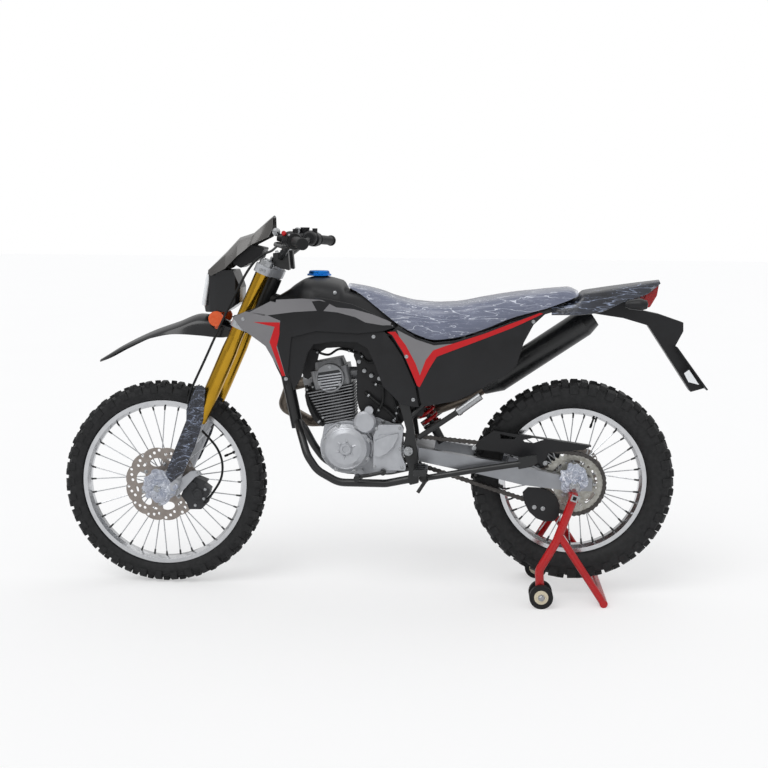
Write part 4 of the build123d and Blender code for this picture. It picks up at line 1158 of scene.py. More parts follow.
GRAPHICS = [Graphic("wing_grey_panel", [(-452, 924), (-412, 942), (-350, 934), (-302, 913), (-310, 866),
    (-312, 832), (-286, 736), (-298, 742), (-334, 806), (-350, 834), (-392, 864), (-428, 890)], GREY_ABS),
    Graphic("wing_grey_band", [(-400, 940), (-324, 980), (-232, 984), (-172, 980), (-126, 956), (-72, 951),
    (-12, 934), (34, 916), (66, 900), (20, 899), (-34, 908), (-66, 925), (-122, 940), (-180, 946),
    (-262, 941), (-354, 929)], GREY_ABS), Graphic("wing_red_flash",
    [(-387, 909), (-304, 908), (-305, 870), (-314, 829), (-287, 737), (-297, 736), (-336, 846), (-320, 894)],
    RED_VINYL_FILM, lift=0.9), ]
COVER_GRAPHICS = [Graphic("cover_grey_vee", [(66, 886), (128, 856), (186, 838), (256, 846), (345, 874),
    (430, 908), (520, 942), (430, 902), (345, 868), (236, 826), (196, 808), (168, 758), (140, 706),
    (118, 760), (88, 826)], GREY_ABS), Graphic("cover_red_vee",
    [(36, 878), (52, 868), (88, 812), (134, 706), (142, 702), (172, 762), (196, 802), (240, 820), (345, 862),
    (434, 898), (532, 944), (520, 946), (430, 912), (345, 878), (226, 838), (184, 822), (160, 790),
    (142, 740), (128, 778), (96, 836), (62, 880)], RED_VINYL_FILM, lift=0.9), ]


@dataclass
class Bodywork:
    """Tank cover, shrouds, side covers, fender and tail, with their graphics and screws."""

    def build(self, maker: Maker) -> None:
        """Build all panels.

        Args:
            maker: makes the pieces.
        """
        tank = CrownedSkin(TANK_STATIONS, spacing=7, shoulder=4).solid()
        maker.piece("tank_cover", tank, Body.CHASSIS, BLACK_PP, hides=("fuel_tank",),
            crease=50)
        fender = CrownedSkin(FENDER_STATIONS, spacing=7, shoulder=2).shell(3.0)
        maker.piece("front_fender_skin", fender, Body.STEERING, BLACK_ABS,
            hides=("front_fender",), crease=50)
        cowl = CrownedSkin(COWL_STATIONS, spacing=7, shoulder=2).shell(3.0)
        maker.piece("tail_cowl_skin", cowl, Body.CHASSIS, WRAPPED_TAIL, hides=("tail_cowl",),
            crease=50)
        for node, name in (("shroud_wings", "shroud_wing_panels"), ("lower_shrouds", "lower_shroud_panels"),
                ("side_covers", "side_cover_panels")):
            maker.rounded(node, name, Body.CHASSIS, BLACK_PP, 1.6)
        self.build_graphics(maker)
        self.build_screws(maker)

    def build_graphics(self, maker: Maker) -> None:
        """Lay each graphic on the panel under it, on both sides.

        Args:
            maker: makes the pieces.
        """
        for graphics, nodes in ((GRAPHICS, ("shroud_wings",)), (COVER_GRAPHICS,
                ("side_covers", "lower_shrouds"))):
            panels = maker.tree(*nodes)
            for graphic in graphics:
                mesh = bmesh.new()
                for side in Side:
                    self.lay(mesh, graphic, panels, side.value)
                maker.piece(graphic.name, mesh, Body.CHASSIS, graphic.finish)

    def lay(self, mesh: BMesh, graphic: Graphic, panels: BVHTree, side: int) -> None:
        """Lay one graphic on the panels of one side.

        Args:
            mesh: mesh that takes the film.
            graphic: the film's outline.
            panels: search tree over the panels.
            side: -1 for the left, 1 for the right.
        """
        flat = bmesh.new()
        flat.faces.new([flat.verts.new((x, 0, z)) for x, z in graphic.outline])
        step = 9.0
        for axis in (0, 2):
            spread = [v.co[axis] for v in flat.verts]
            cut = math.floor(min(spread) / step) * step + step
            while cut < max(spread):
                place, normal = Vector((0, 0, 0)), Vector((0, 0, 0))
                place[axis], normal[axis] = cut, 1.0
                bmesh.ops.bisect_plane(flat, geom=flat.verts[:] + flat.edges[:] + flat.faces[:], dist=1e-4,
                    plane_co=place, plane_no=normal)
                cut += step
        bmesh.ops.triangulate(flat, faces=flat.faces)
        moved = {}
        for vert in flat.verts:
            depths = []
            for out_x, out_z in ((0, 0), (8, 0), (-8, 0), (0, 8), (0, -8), (15, 0), (-15, 0)):
                start = spot(vert.co.x + out_x, side * 400, vert.co.z + out_z)
                hit, _, _, _ = panels.ray_cast(start, Vector((0, -side, 0)), 0.35)
                depths.append(abs(hit.y) if hit is not None else 0.0)
            # over a seam or an edge the film bridges the gap at the height of the panel beside it
            depth = depths[0] if depths[0] > max(depths) - 6 * MM else max(depths)
            place = Vector((vert.co.x * MM, side * depth, vert.co.z * MM))
            if depth < 60 * MM:
                place, _, _, _ = panels.find_nearest(Vector((place.x, side * 160 * MM, place.z)))
            moved[vert] = mesh.verts.new(place + Vector((0, side * graphic.lift * MM, 0)))
        for face in flat.faces:
            corners = [moved[v] for v in face.verts]
            mesh.faces.new(corners if (side < 0) == (face.normal.y < 0) else list(reversed(corners)))
        flat.free()

    def build_screws(self, maker: Maker) -> None:
        """Build the screws that hold the panels.

        Args:
            maker: makes the pieces.
        """
        mesh = bmesh.new()
        panels = maker.tree("shroud_wings", "lower_shrouds", "side_covers", "fuel_tank")
        for side in Side:
            for x, z in ((-137, 1000), (-9, 862), (121, 660), (-285, 727), (98, 800), (500, 918),
                    (-420, 918)):
                start = Vector((x * MM, side.value * 0.4, z * MM))
                hit, normal, _, _ = panels.ray_cast(start, Vector((0, -side.value, 0)), 0.4)
                if hit is not None:
                    add_bolt(mesh, hit / MM, normal if normal.y * side.value > 0 else -normal, 4.6, 3.4)
        maker.piece("panel_screws", mesh, Body.CHASSIS, ZINC_PLATE)


@dataclass
class Seat:
    """The long bench seat: foam under vinyl, with piping and packing film."""

    swell: float = 5.0  # how far the pressed cover may move, in mm

    def build(self, maker: Maker) -> None:
        """Build the cushion, its piping and the film over it.

        Args:
            maker: makes the pieces.
        """
        mesh = CrownedSkin(SEAT_STATIONS, spacing=8, shoulder=3, shrink=2.0).solid()
        cushion = maker.piece("seat_cushion", mesh, Body.CHASSIS, SEAT_VINYL, hides=("seat",),
            crease=60)
        self.inflate(cushion)
        self.build_piping(maker, cushion)
        self.build_film(maker)

    def inflate(self, cushion: Object) -> None:
        """Swell the cover by a short cloth run, and cap how far each point moves.

        Args:
            cushion: the cushion's object, which takes the result.
        """
        work = bpy.data.objects.new("seat_cushion_work", cushion.data.copy())
        bpy.context.scene.collection.objects.link(work)
        remesh = work.modifiers.new("voxels", "REMESH")
        remesh.mode, remesh.voxel_size = "VOXEL", 0.006
        bpy.context.view_layer.update()
        graph = bpy.context.evaluated_depsgraph_get()
        work_mesh = bpy.data.meshes.new_from_object(work.evaluated_get(graph))
        work.modifiers.clear()
        work.data = work_mesh
        start = [v.co.copy() for v in work_mesh.vertices]
        cloth = work.modifiers.new("cover", "CLOTH")
        cloth.settings.use_pressure = True
        cloth.settings.uniform_pressure_force = 4.0
        cloth.settings.effector_weights.gravity = 0.0
        cloth.settings.quality = 4
        cloth.settings.tension_stiffness = 40
        cloth.settings.compression_stiffness = 40
        for frame_number in range(1, 15):
            bpy.context.scene.frame_set(frame_number)
        graph = bpy.context.evaluated_depsgraph_get()
        swollen = bpy.data.meshes.new_from_object(work.evaluated_get(graph))
        limit = self.swell * MM
        for vert, old in zip(swollen.vertices, start):
            move = vert.co - old
            vert.co = old + move * min(1.0, limit / max(move.length, 1e-9))
        bpy.context.scene.frame_set(1)
        finish = cushion.data.materials[0]
        mesh = bmesh.new()
        mesh.from_mesh(swollen)
        bmesh.ops.smooth_vert(mesh, verts=mesh.verts, factor=0.5, use_axis_x=True, use_axis_y=True,
            use_axis_z=True)
        mesh.to_mesh(swollen)
        mesh.free()
        swollen.shade_smooth()
        swollen.materials.clear()
        swollen.materials.append(finish)
        cushion.data = swollen
        bpy.data.objects.remove(work)
        log.info("seat_cushion: cover swollen, %d points", len(swollen.vertices))

    def edge_line(self, cushion: Object, side: int, drop: float) -> list[Vector]:
        """Return points along the seam on one side of the cover.

        Args:
            cushion: the cushion.
            side: -1 for the left, 1 for the right.
            drop: how far below the crown's edge the seam runs, in mm.

        Returns:
            The seam's points on the cover, in metres.
        """
        mesh = bmesh.new()
        mesh.from_mesh(cushion.data)
        tree = BVHTree.FromBMesh(mesh)
        mesh.free()
        points = []
        for i in range(91):
            x = -84 + 716 * i / 90
            places = [s[0] for s in SEAT_STATIONS]
            edge, z = (smooth_between([s[k] for s in SEAT_STATIONS], places, x) for k in (1, 4))
            near, _, _, _ = tree.find_nearest(Vector((x, side * (edge + 6), z - drop)) * MM)
            points.append(near)
        return points

    def build_piping(self, maker: Maker, cushion: Object) -> None:
        """Build the welt round the top panel and the stitches beside it.

        Args:
            maker: makes the pieces.
            cushion: the seat's cushion.
        """
        welt, stitches = bmesh.new(), bmesh.new()
        for side in Side:
            line = self.edge_line(cushion, side.value, 2.0)
            add_pipe(welt, line, 2.0, sides=8)
            low = self.edge_line(cushion, side.value, 9.0)
            for a, b in zip(low[::2], low[1::2]):
                lift = Vector((0, side.value * 0.4 * MM, 0.2 * MM))
                add_rod(stitches, a + lift, b + lift, 0.7, sides=5)
        maker.piece("seat_welt", welt, Body.CHASSIS, SEAT_VINYL)
        maker.piece("seat_stitches", stitches, Body.CHASSIS, BLACK_VINYL_FILM)

    def build_film(self, maker: Maker) -> None:
        """Build the crinkled clear film that is stretched over the seat.

        Args:
            maker: makes the pieces.
        """
        skin = CrownedSkin(SEAT_STATIONS, spacing=6, shoulder=3)
        mesh = bmesh.new()
        add_strip(mesh, skin.rows())
        bmesh.ops.subdivide_edges(mesh, edges=mesh.edges[:], cuts=1, use_grid_fill=True)
        face_up(mesh)
        mesh.normal_update()
        shifts = []
        for vert in mesh.verts:
            pull = Vector((vert.co.x * 26, vert.co.y * 60, vert.co.z * 90))
            folds = noise.ridged_multi_fractal(pull, 1.0, 2.0, 4, 1.0, 2.0)
            fine = noise.noise(vert.co * 160)
            shifts.append(vert.normal * (2.8 + 0.7 * folds + 0.3 * fine) * MM)
        for vert, shift in zip(mesh.verts, shifts):
            vert.co += shift
        area = sum(f.calc_area() for f in mesh.faces)
        film = maker.piece("seat_packing_film", mesh, Body.CHASSIS, PACKING_FILM, crease=70)
        log.info("seat_packing_film: %.4f square metres", area)


@dataclass
class Packing:
    """Clear film left on the new machine, balled up round the front axle lug and the rear axle plate."""

    def build(self, maker: Maker) -> None:
        """Build both wads of film.

        Args:
            maker: makes the pieces.
        """
        self.wad(maker, "front_hub_packing_film", Body.STEERING, (-717, 350), 58, 56, (-119, -129), 3.0)
        self.wad(maker, "rear_hub_packing_film", Body.CHASSIS, (642, 408), 46, 48, (-122, -130), 11.0)

    def wad(self, maker: Maker, name: str, body: Body, middle: tuple[float, float], wide: float, high: float,
            reach: tuple[float, float], seed: float) -> None:
        """Build one wad of film: a shallow crumpled cap over the end of an axle.

        Args:
            maker: makes the piece.
            name: the piece's own name.
            body: the body that it rides on.
            middle: (X, Z) of its middle, in mm.
            wide: half its width along X, in mm.
            high: half its height, in mm.
            reach: Y of its rim and of its crown, in mm.
            seed: place in the noise that its folds are taken from.
        """
        rim, crown = reach
        rows = []
        for i in range(19):
            t = max(i / 18, 0.004)
            row = []
            for k in range(60):
                angle = 2 * pi * k / 60
                edge = 1 + 0.34 * noise.noise(Vector((cos(angle) * 2.1 + seed, sin(angle) * 2.1,
                    seed)))
                out = t * edge
                y = crown + (rim - crown) * t**3
                row.append(Vector((middle[0] + wide * out * cos(angle), y,
                    middle[1] + high * out * sin(angle))) * MM)
            rows.append(row)
        mesh = bmesh.new()
        add_strip(mesh, rows, closed_across=True)
        bmesh.ops.subdivide_edges(mesh, edges=mesh.edges[:], cuts=1, use_grid_fill=True)
        bmesh.ops.recalc_face_normals(mesh, faces=mesh.faces)
        crumple(mesh, 7.0, 24, seed)
        area = sum(f.calc_area() for f in mesh.faces)
        made = maker.piece(name, mesh, body, CRUMPLED_FILM, crease=50)
        log.info("%s: %.4f square metres", name, area)


@dataclass
class Brakes:
    """Calipers with rounded bodies, their caps and their screws."""

    def build(self, maker: Maker) -> None:
        """Build the calipers.

        Args:
            maker: makes the pieces.
        """
        maker.rounded("front_caliper", "front_caliper_body", Body.STEERING, BLACK_CASTING, 2.2)
        maker.rounded("rear_caliper", "rear_caliper_body", Body.CHASSIS, BLACK_CASTING, 2.2)
        front, rear, caps = bmesh.new(), bmesh.new(), bmesh.new()
        add_lathe(caps, -598, 322, [(-84, 19), (-92, 19), (-94.5, 16), (-94.5, 13), (-92.5, 11.5)])
        add_lathe(caps, -614, 350, [(-84, 15), (-90, 15), (-92, 12.5), (-92, 10), (-90.5, 9)])
        maker.piece("front_caliper_caps", caps, Body.STEERING, BLACK_CASTING)
        for x, z in ((-577, 306), (-572, 338), (-606, 283)):
            add_bolt(front, (x, -86, z), (0, -1, 0), 3.8, 4)
        for x, z in ((-590, 396), (-660, 340)):
            add_bolt(front, (x, -101, z), (0, -1, 0), 5.5, 5)
        maker.piece("front_caliper_screws", front, Body.STEERING, ZINC_PLATE)
        for x, z in ((536, 412), (560, 424), (598, 470)):
            add_bolt(rear, (x, 84, z), (0, 1, 0), 4.5, 5)
            add_bolt(rear, (x, 56, z), (0, -1, 0), 4.5, 5)
        maker.piece("rear_caliper_screws", rear, Body.CHASSIS, ZINC_PLATE)
@dataclass
class BrakeHose:
    """Hydraulic hose from the master cylinder on the right bar, round the lamp, to the left caliper."""

    length: float = 1257  # real length, in mm
    diameter: float = 8.0
    route: tuple[tuple[float, float, float], ...] = (
        (-300.5, 225.5, 1174), (-332, 190, 1170), (-352, 136, 1154), (-361, 70, 1136), (-362, 4, 1128),
        (-370, -58, 1124), (-393, -101, 1106), (-422, -113, 1066), (-450, -116, 1012), (-480, -115, 954),
        (-507, -113, 898), (-534, -112, 840), (-568, -110, 766), (-598, -103, 706), (-620, -87, 662),
        (-631, -70, 616), (-619, -66, 574), (-592, -66, 540), (-562, -67, 510), (-534, -69, 478),
        (-517, -70, 438),
        (-515, -70, 396), (-526, -69, 356), (-557.6, -66, 312.7),
    )

    def build(self, maker: Maker) -> None:
        """Build the hose as one smooth spline through its route's control points.

        Args:
            maker: not used, because the hose is a curve.
        """
        curve = bpy.data.curves.new("brake_hose", "CURVE")
        curve.dimensions, curve.use_fill_caps = "3D", True
        curve.bevel_depth, curve.bevel_resolution = self.diameter / 2 * MM, 4
        spline = curve.splines.new("NURBS")
        spline.points.add(len(self.route) - 1)
        for point, place in zip(spline.points, self.route):
            point.co = (*(Vector(place) * MM), 1)
        spline.order_u = 3
        spline.use_endpoint_u = True
        curve.materials.append(MOULDED_RUBBER.build())
        hose = bpy.data.objects.new("brake_hose", curve)
        bpy.context.scene.collection.objects.link(hose)
        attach(hose, Body.STEERING.value)
        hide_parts("front_brake_hose")
        log.info("brake_hose: %d control points", len(self.route))


@dataclass
class Suspension:
    """Coil spring of the rear shock, with its damper."""

    top: tuple[float, float, float] = (52, 0, 800)
    low: tuple[float, float, float] = (214, 0, 500)
    coil_r: float = 27.0
    wire_r: float = 5.5
    coils: float = 8.5

    def build(self, maker: Maker) -> None:
        """Build the damper and its spring.

        Args:
            maker: makes the pieces.
        """
        start, end = Vector(self.top) * MM, Vector(self.low) * MM
        along = (end - start).normalized()
        across = along.orthogonal().normalized()
        up = along.cross(across)
        points = []
        for i in range(int(self.coils * 24) + 1):
            turn = i / 24
            angle = 2 * pi * turn
            out = across * cos(angle) + up * sin(angle)
            points.append(start + along * (66 + 200 * turn / self.coils) * MM + out * self.coil_r * MM)
        spring = bmesh.new()
        add_pipe(spring, points, self.wire_r, sides=10)
        maker.piece("shock_spring", spring, Body.CHASSIS, RED_ENAMEL, hides=("rear_shock",))
        damper = bmesh.new()
        for a, b, radius in ((0, 60, 17), (56, 64, 33), (60, 180, 18), (180, 275, 8), (268, 276, 33),
                (272, 341, 15)):
            add_rod(damper, start + along * a * MM, start + along * b * MM, radius, sides=28)
        maker.piece("shock_damper", damper, Body.CHASSIS, BLACK_STEEL)


@dataclass
class Engine:
    """Screws, ribs and small fittings on the engine's covers."""

    cover: tuple[float, float, float] = (-99, 490, 74)  # X, Z and the screws' radius
    cam: tuple[float, float, float] = (-155, 719, 38)

    def build(self, maker: Maker) -> None:
        """Build the screws and ribs.

        Args:
            maker: makes the pieces.
        """
        screws, ribs = bmesh.new(), bmesh.new()
        x0, z0, r0 = self.cover
        for i in range(8):
            angle = radians(45 * i + 20)
            x, z = x0 + (r0 + 4) * cos(angle), z0 + (r0 + 4) * sin(angle)
            self.boss(ribs, x, z, -78, -100, 8.5)
            add_bolt(screws, (x, -100, z), (0, -1, 0), 4.2, 4)
        for i in range(3):
            angle = radians(120 * i + 90)
            add_bolt(screws, (self.cam[0] + self.cam[2] * cos(angle), -88,
                self.cam[1] + self.cam[2] * sin(angle)), (0, -1, 0), 4.5, 5)
        self.build_cam_cover(maker, ribs)
        for i in range(6):
            angle = radians(60 * i + 20)
            out = Vector((cos(angle), 0, sin(angle)))
            middle = Vector((x0, 0, z0))
            add_rod(ribs, (middle + out * 22 - Vector((0, 113, 0))) * MM,
                    (middle + out * 62 - Vector((0, 105, 0))) * MM,
                    4.6, 3.4, sides=10)
        add_lathe(ribs, x0, z0, [(-117, 18), (-122, 17), (-122, 11), (-118.5, 10), (-118.5, 0.5)], sides=32)
        add_lathe(ribs, x0, z0, [(-100, 71), (-107, 69.5), (-109, 66), (-107, 62.5), (-100, 61)], sides=48,
            closed=True)
        add_punched(ribs, softened([(-6, 506), (-2, 524), (70, 548), (76, 540), (48, 486), (-2, 462)], 1), [],
            -119.8, -126)
        for x, z in ((-8, 430), (-2, 566), (84, 568), (92, 428), (86, 500)):
            x, z = x + (4 if x < 50 else -6), z + (4 if z < 500 else -6)
            add_bolt(screws, (x, -114, z), (0, -1, 0), 4.2, 4)
        for x, z in ((-140, 420), (-60, 412), (30, 416), (64, 470), (50, 556)):
            add_bolt(screws, (x, -58, z), (0, -1, 0), 4.4, 5)
            add_bolt(screws, (x, 70, z), (0, 1, 0), 4.4, 5)
        for i in range(8):
            angle = radians(45 * i + 10)
            add_bolt(screws, (-50 + 84 * cos(angle), 112, 482 + 84 * sin(angle)), (0, 1, 0), 4.2, 4)
        maker.piece("engine_screws", screws, Body.CHASSIS, ZINC_PLATE)
        maker.piece("engine_ribs", ribs, Body.CHASSIS, CAST_ALUMINIUM)
        self.build_hoses(maker)

    def build_cam_cover(self, maker: Maker, ribs: BMesh) -> None:
        """Build a thin black sheet of painted shade in the hollow of the round cam cover, and the bars across
        it.

        Args:
            maker: makes the pieces.
            ribs: mesh that takes the bars.
        """
        x0, z0 = self.cam[:2]
        arc = [radians(155 + 250 * i / 30) for i in range(31)]
        # painted shade: a thin black sheet lies where the cover's hollow would be in shade
        painted_shade = bmesh.new()
        add_punched(painted_shade, [(x0 + 41 * cos(a), z0 + 41 * sin(a)) for a in arc], [], -87.5, -88.6)
        maker.piece("cam_cover_painted_shade", painted_shade, Body.CHASSIS, BLACK_CASTING)
        lean = Vector((cos(radians(9)), 0, sin(radians(9))))
        for i in range(6):
            drop = 12 - 9.2 * i
            half = math.sqrt(41**2 - drop**2) - 1
            middle = Vector((x0, -89, z0 + drop))
            add_rod(ribs, (middle - lean * half) * MM, (middle + lean * half) * MM, 2.6, sides=10)

    def build_hoses(self, maker: Maker) -> None:
        """Build the plates, the stiff moulded vent pipes and their clips between the cylinder and the frame.

        Args:
            maker: makes the pieces.
        """
        plates = bmesh.new()
        add_punched(plates, softened([(-70, 850), (84, 850), (92, 640), (90, 562), (30, 556), (-44, 584),
            (-68, 630), (-70, 690), (-68, 760), (-84, 800)], 1), [], -52, -46)
        for side in Side:
            add_punched(plates, [(40, 880), (84, 872), (112, 800), (134, 720), (158, 640), (150, 600),
                (118, 600), (70, 760)], [], side.value * 92, side.value * 96)
        add_punched(plates, softened([(-264, 850), (-258, 770), (-250, 716), (-226, 706), (-206, 752),
            (-192, 812), (-110, 818), (-84, 796), (-60, 850)], 1), [], -42, -36)
        add_punched(plates, softened([(-246, 668), (-222, 694), (-196, 640), (-166, 580), (-176, 548),
            (-206, 560), (-234, 610)], 1), [], -42, -36)
        maker.piece("inner_panels", plates, Body.CHASSIS, BLACK_PP)
        hoses, clips = bmesh.new(), bmesh.new()
        for radius, points in (
                (5, [(-60, 52, 800), (-30, 62, 770), (10, 66, 790), (40, 66, 820)]),
                (4, [(-216, 44, 806), (-166, 46, 792), (-126, 48, 812), (-68, 56, 800)]),
                (6, [(-40, 60, 670), (0, 70, 640), (40, 72, 610), (78, 74, 570)]),
                (4, [(-20, 66, 700), (30, 78, 690), (60, 80, 640), (66, 80, 580)]),
                (4.5, [(14, 64, 760), (20, 80, 700), (18, 82, 640), (-6, 78, 600)]),
                (7, [(30, 62, 800), (52, 72, 730), (58, 74, 660), (74, 74, 600)]),
                (6, [(-236, 52, 690), (-228, 60, 640), (-206, 64, 590), (-182, 62, 560)]),
                (4, [(-218, 52, 700), (-206, 60, 650), (-190, 64, 606), (-172, 62, 570)])):
            path = [Vector((x, -y, z)) for x, y, z in points]
            line = []
            for i in range(25):
                place = i / 8
                k = min(int(place), 2)
                t = place - k
                before, after = path[max(k - 1, 0)], path[min(k + 2, len(path) - 1)]
                a, b = path[k], path[k + 1]
                line.append((a * 2 + (b - before) * t + (before * 2 - a * 5 + b * 4 - after) * t**2
                             + (a * 3 - before - b * 3 + after) * t**3) * 0.5 * MM)
            add_pipe(hoses, line, radius, sides=12)
            for k in (3, 20):
                along = (line[k + 1] - line[k]).normalized() * 3 * MM
                add_rod(clips, line[k] - along, line[k] + along, radius + 1.2, sides=16)
        maker.piece("vent_pipes", hoses, Body.CHASSIS, MOULDED_RUBBER)
        for x, y, z in ((-62, 52, 772), (-44, 56, 742), (-20, 66, 728), (6, 60, 718), (20, 52, 574),
                (56, 52, 578)):
            add_rod(clips, spot(x, -y + 8, z), spot(x, -y - 8, z), 8, 6.5, sides=16)
            add_bolt(clips, (x, -y - 8, z), (0, -1, 0), 4, 4)
        maker.piece("pipe_clips", clips, Body.CHASSIS, ZINC_PLATE)

    def boss(self, mesh: BMesh, x: float, z: float, low: float, high: float,
            radius: float) -> None:
        """Add the round boss under one screw."""
        add_rod(mesh, spot(x, low, z), spot(x, high, z), radius, radius * 0.85, sides=18)


@dataclass
class Controls:
    """Small parts on the steering: horn button, lamp lens and strips, switch housings, bosses and screws."""

    bar: tuple[float, float] = (-262, 1170)  # (X, Z) of the handlebar's ends, in mm
    stem: tuple[float, float, float] = (-464.3, 0, 785.9)  # a point on the steering axis
    rake: float = 23.5  # lean of the steering axis, in degrees
    fork_ahead: float = 26  # how far the fork stands ahead of the axis

    def build(self, maker: Maker) -> None:
        """Build the small parts on the steering.

        Args:
            maker: makes the pieces.
        """
        buttons = bmesh.new()
        add_rod(buttons, spot(-279, -262, 1190), spot(-279, -271, 1192), 8, 6.5, sides=16)
        maker.piece("horn_button", buttons, Body.STEERING, RED_VINYL_FILM)
        lens = bmesh.new()
        rows = []
        for i in range(13):
            t = i / 12
            x, z = -556 - 18 * t, 1048 - 90 * t
            half = 42 - 4 * (2 * t - 1) ** 2
            rows.append([Vector((x - 5 * (1 - (k / 6) ** 2), half * k / 6, z)) * MM for k in range(-6, 7)])
        add_strip(lens, rows)
        bmesh.ops.solidify(lens, geom=lens.faces[:], thickness=2 * MM)
        maker.piece("headlight_lens", lens, Body.STEERING, CLEAR_LENS)
        self.build_strip(maker)
        self.build_clusters(maker)
        self.build_screws(maker)

    def build_clusters(self, maker: Maker) -> None:
        """Build the switch housings and the bright mirror bosses over them.

        Args:
            maker: makes the pieces.
        """
        housings, bosses = bmesh.new(), bmesh.new()
        for side in Side:
            out = side.value
            add_lathe(housings, *self.bar, [(out * 206, 18), (out * 212, 24), (out * 226, 27),
                (out * 250, 27), (out * 260, 23), (out * 264, 17)], sides=32)
            add_rod(housings, spot(-262, out * 232, 1172), spot(-304, out * 232, 1178), 15, 12,
                    sides=20)
            add_lathe(bosses, -307, 1194, [(out * 222, 11), (out * 236, 13), (out * 244, 11), (out * 249, 5)],
                sides=24)
            add_bolt(bosses, (-262, out * 264, 1184), (0, out, 0), 3.5, 3)
        maker.piece("switch_housings", housings, Body.STEERING, BLACK_PP)
        maker.piece("mirror_bosses", bosses, Body.STEERING, ZINC_PLATE)

    def build_strip(self, maker: Maker) -> None:
        """Build the white strip down each side of the lamp's face.

        Args:
            maker: makes the pieces.
        """
        mesh = bmesh.new()
        for side in Side:
            rows = []
            for i in range(15):
                t = i / 14
                x, z = -560 - 18 * t, 1054 - 104 * t
                y = side.value * (50 + 4 * sin(pi * t))
                rows.append(ring(spot(x, y, z), Vector((-18, 0, -104)), 7 * MM, 12, Vector((0, 1, 0))))
            add_strip(mesh, rows, closed_across=True, cap=True)
        maker.piece("headlight_strips", mesh, Body.STEERING, WHITE_DIFFUSER)

    def build_screws(self, maker: Maker) -> None:
        """Build the clamp screws, the axle nuts and the fork caps of the steering.

        Args:
            maker: makes the pieces.
        """
        mesh = bmesh.new()
        rake = radians(self.rake)
        back = Vector((cos(rake), 0, -sin(rake)))
        up = Vector((sin(rake), 0, cos(rake)))
        origin = Vector(self.stem)
        for side in Side:
            for height in (108, 299):
                middle = origin - back * self.fork_ahead + up * height + Vector((0, side.value * 131, 0))
                for shift in (-9, 9):
                    add_bolt(mesh, middle + back * shift * 0.6, (0, side.value, 0), 4, 4)
            add_bolt(mesh, (-724, side.value * 122, 346), (0, side.value, 0), 13, 8)
            for x, y, z in ((-334, 44, 1128), (-334, 60, 1128), (-306, 44, 1133), (-306, 60, 1133)):
                add_bolt(mesh, (x, side.value * y, z), (-0.16, 0, 1), 3.6, 4)
            top = origin - back * self.fork_ahead + up * 326 + Vector((0, side.value * 100, 0))
            add_rod(mesh, (top - up * 28) * MM, (top + up * 4.6) * MM, 24, sides=32)
            add_bolt(mesh, top + up * 4.6, up, 12, 6)
        add_bolt(mesh, origin + up * 322, up, 13, 9)
        maker.piece("steering_screws", mesh, Body.STEERING, ZINC_PLATE)


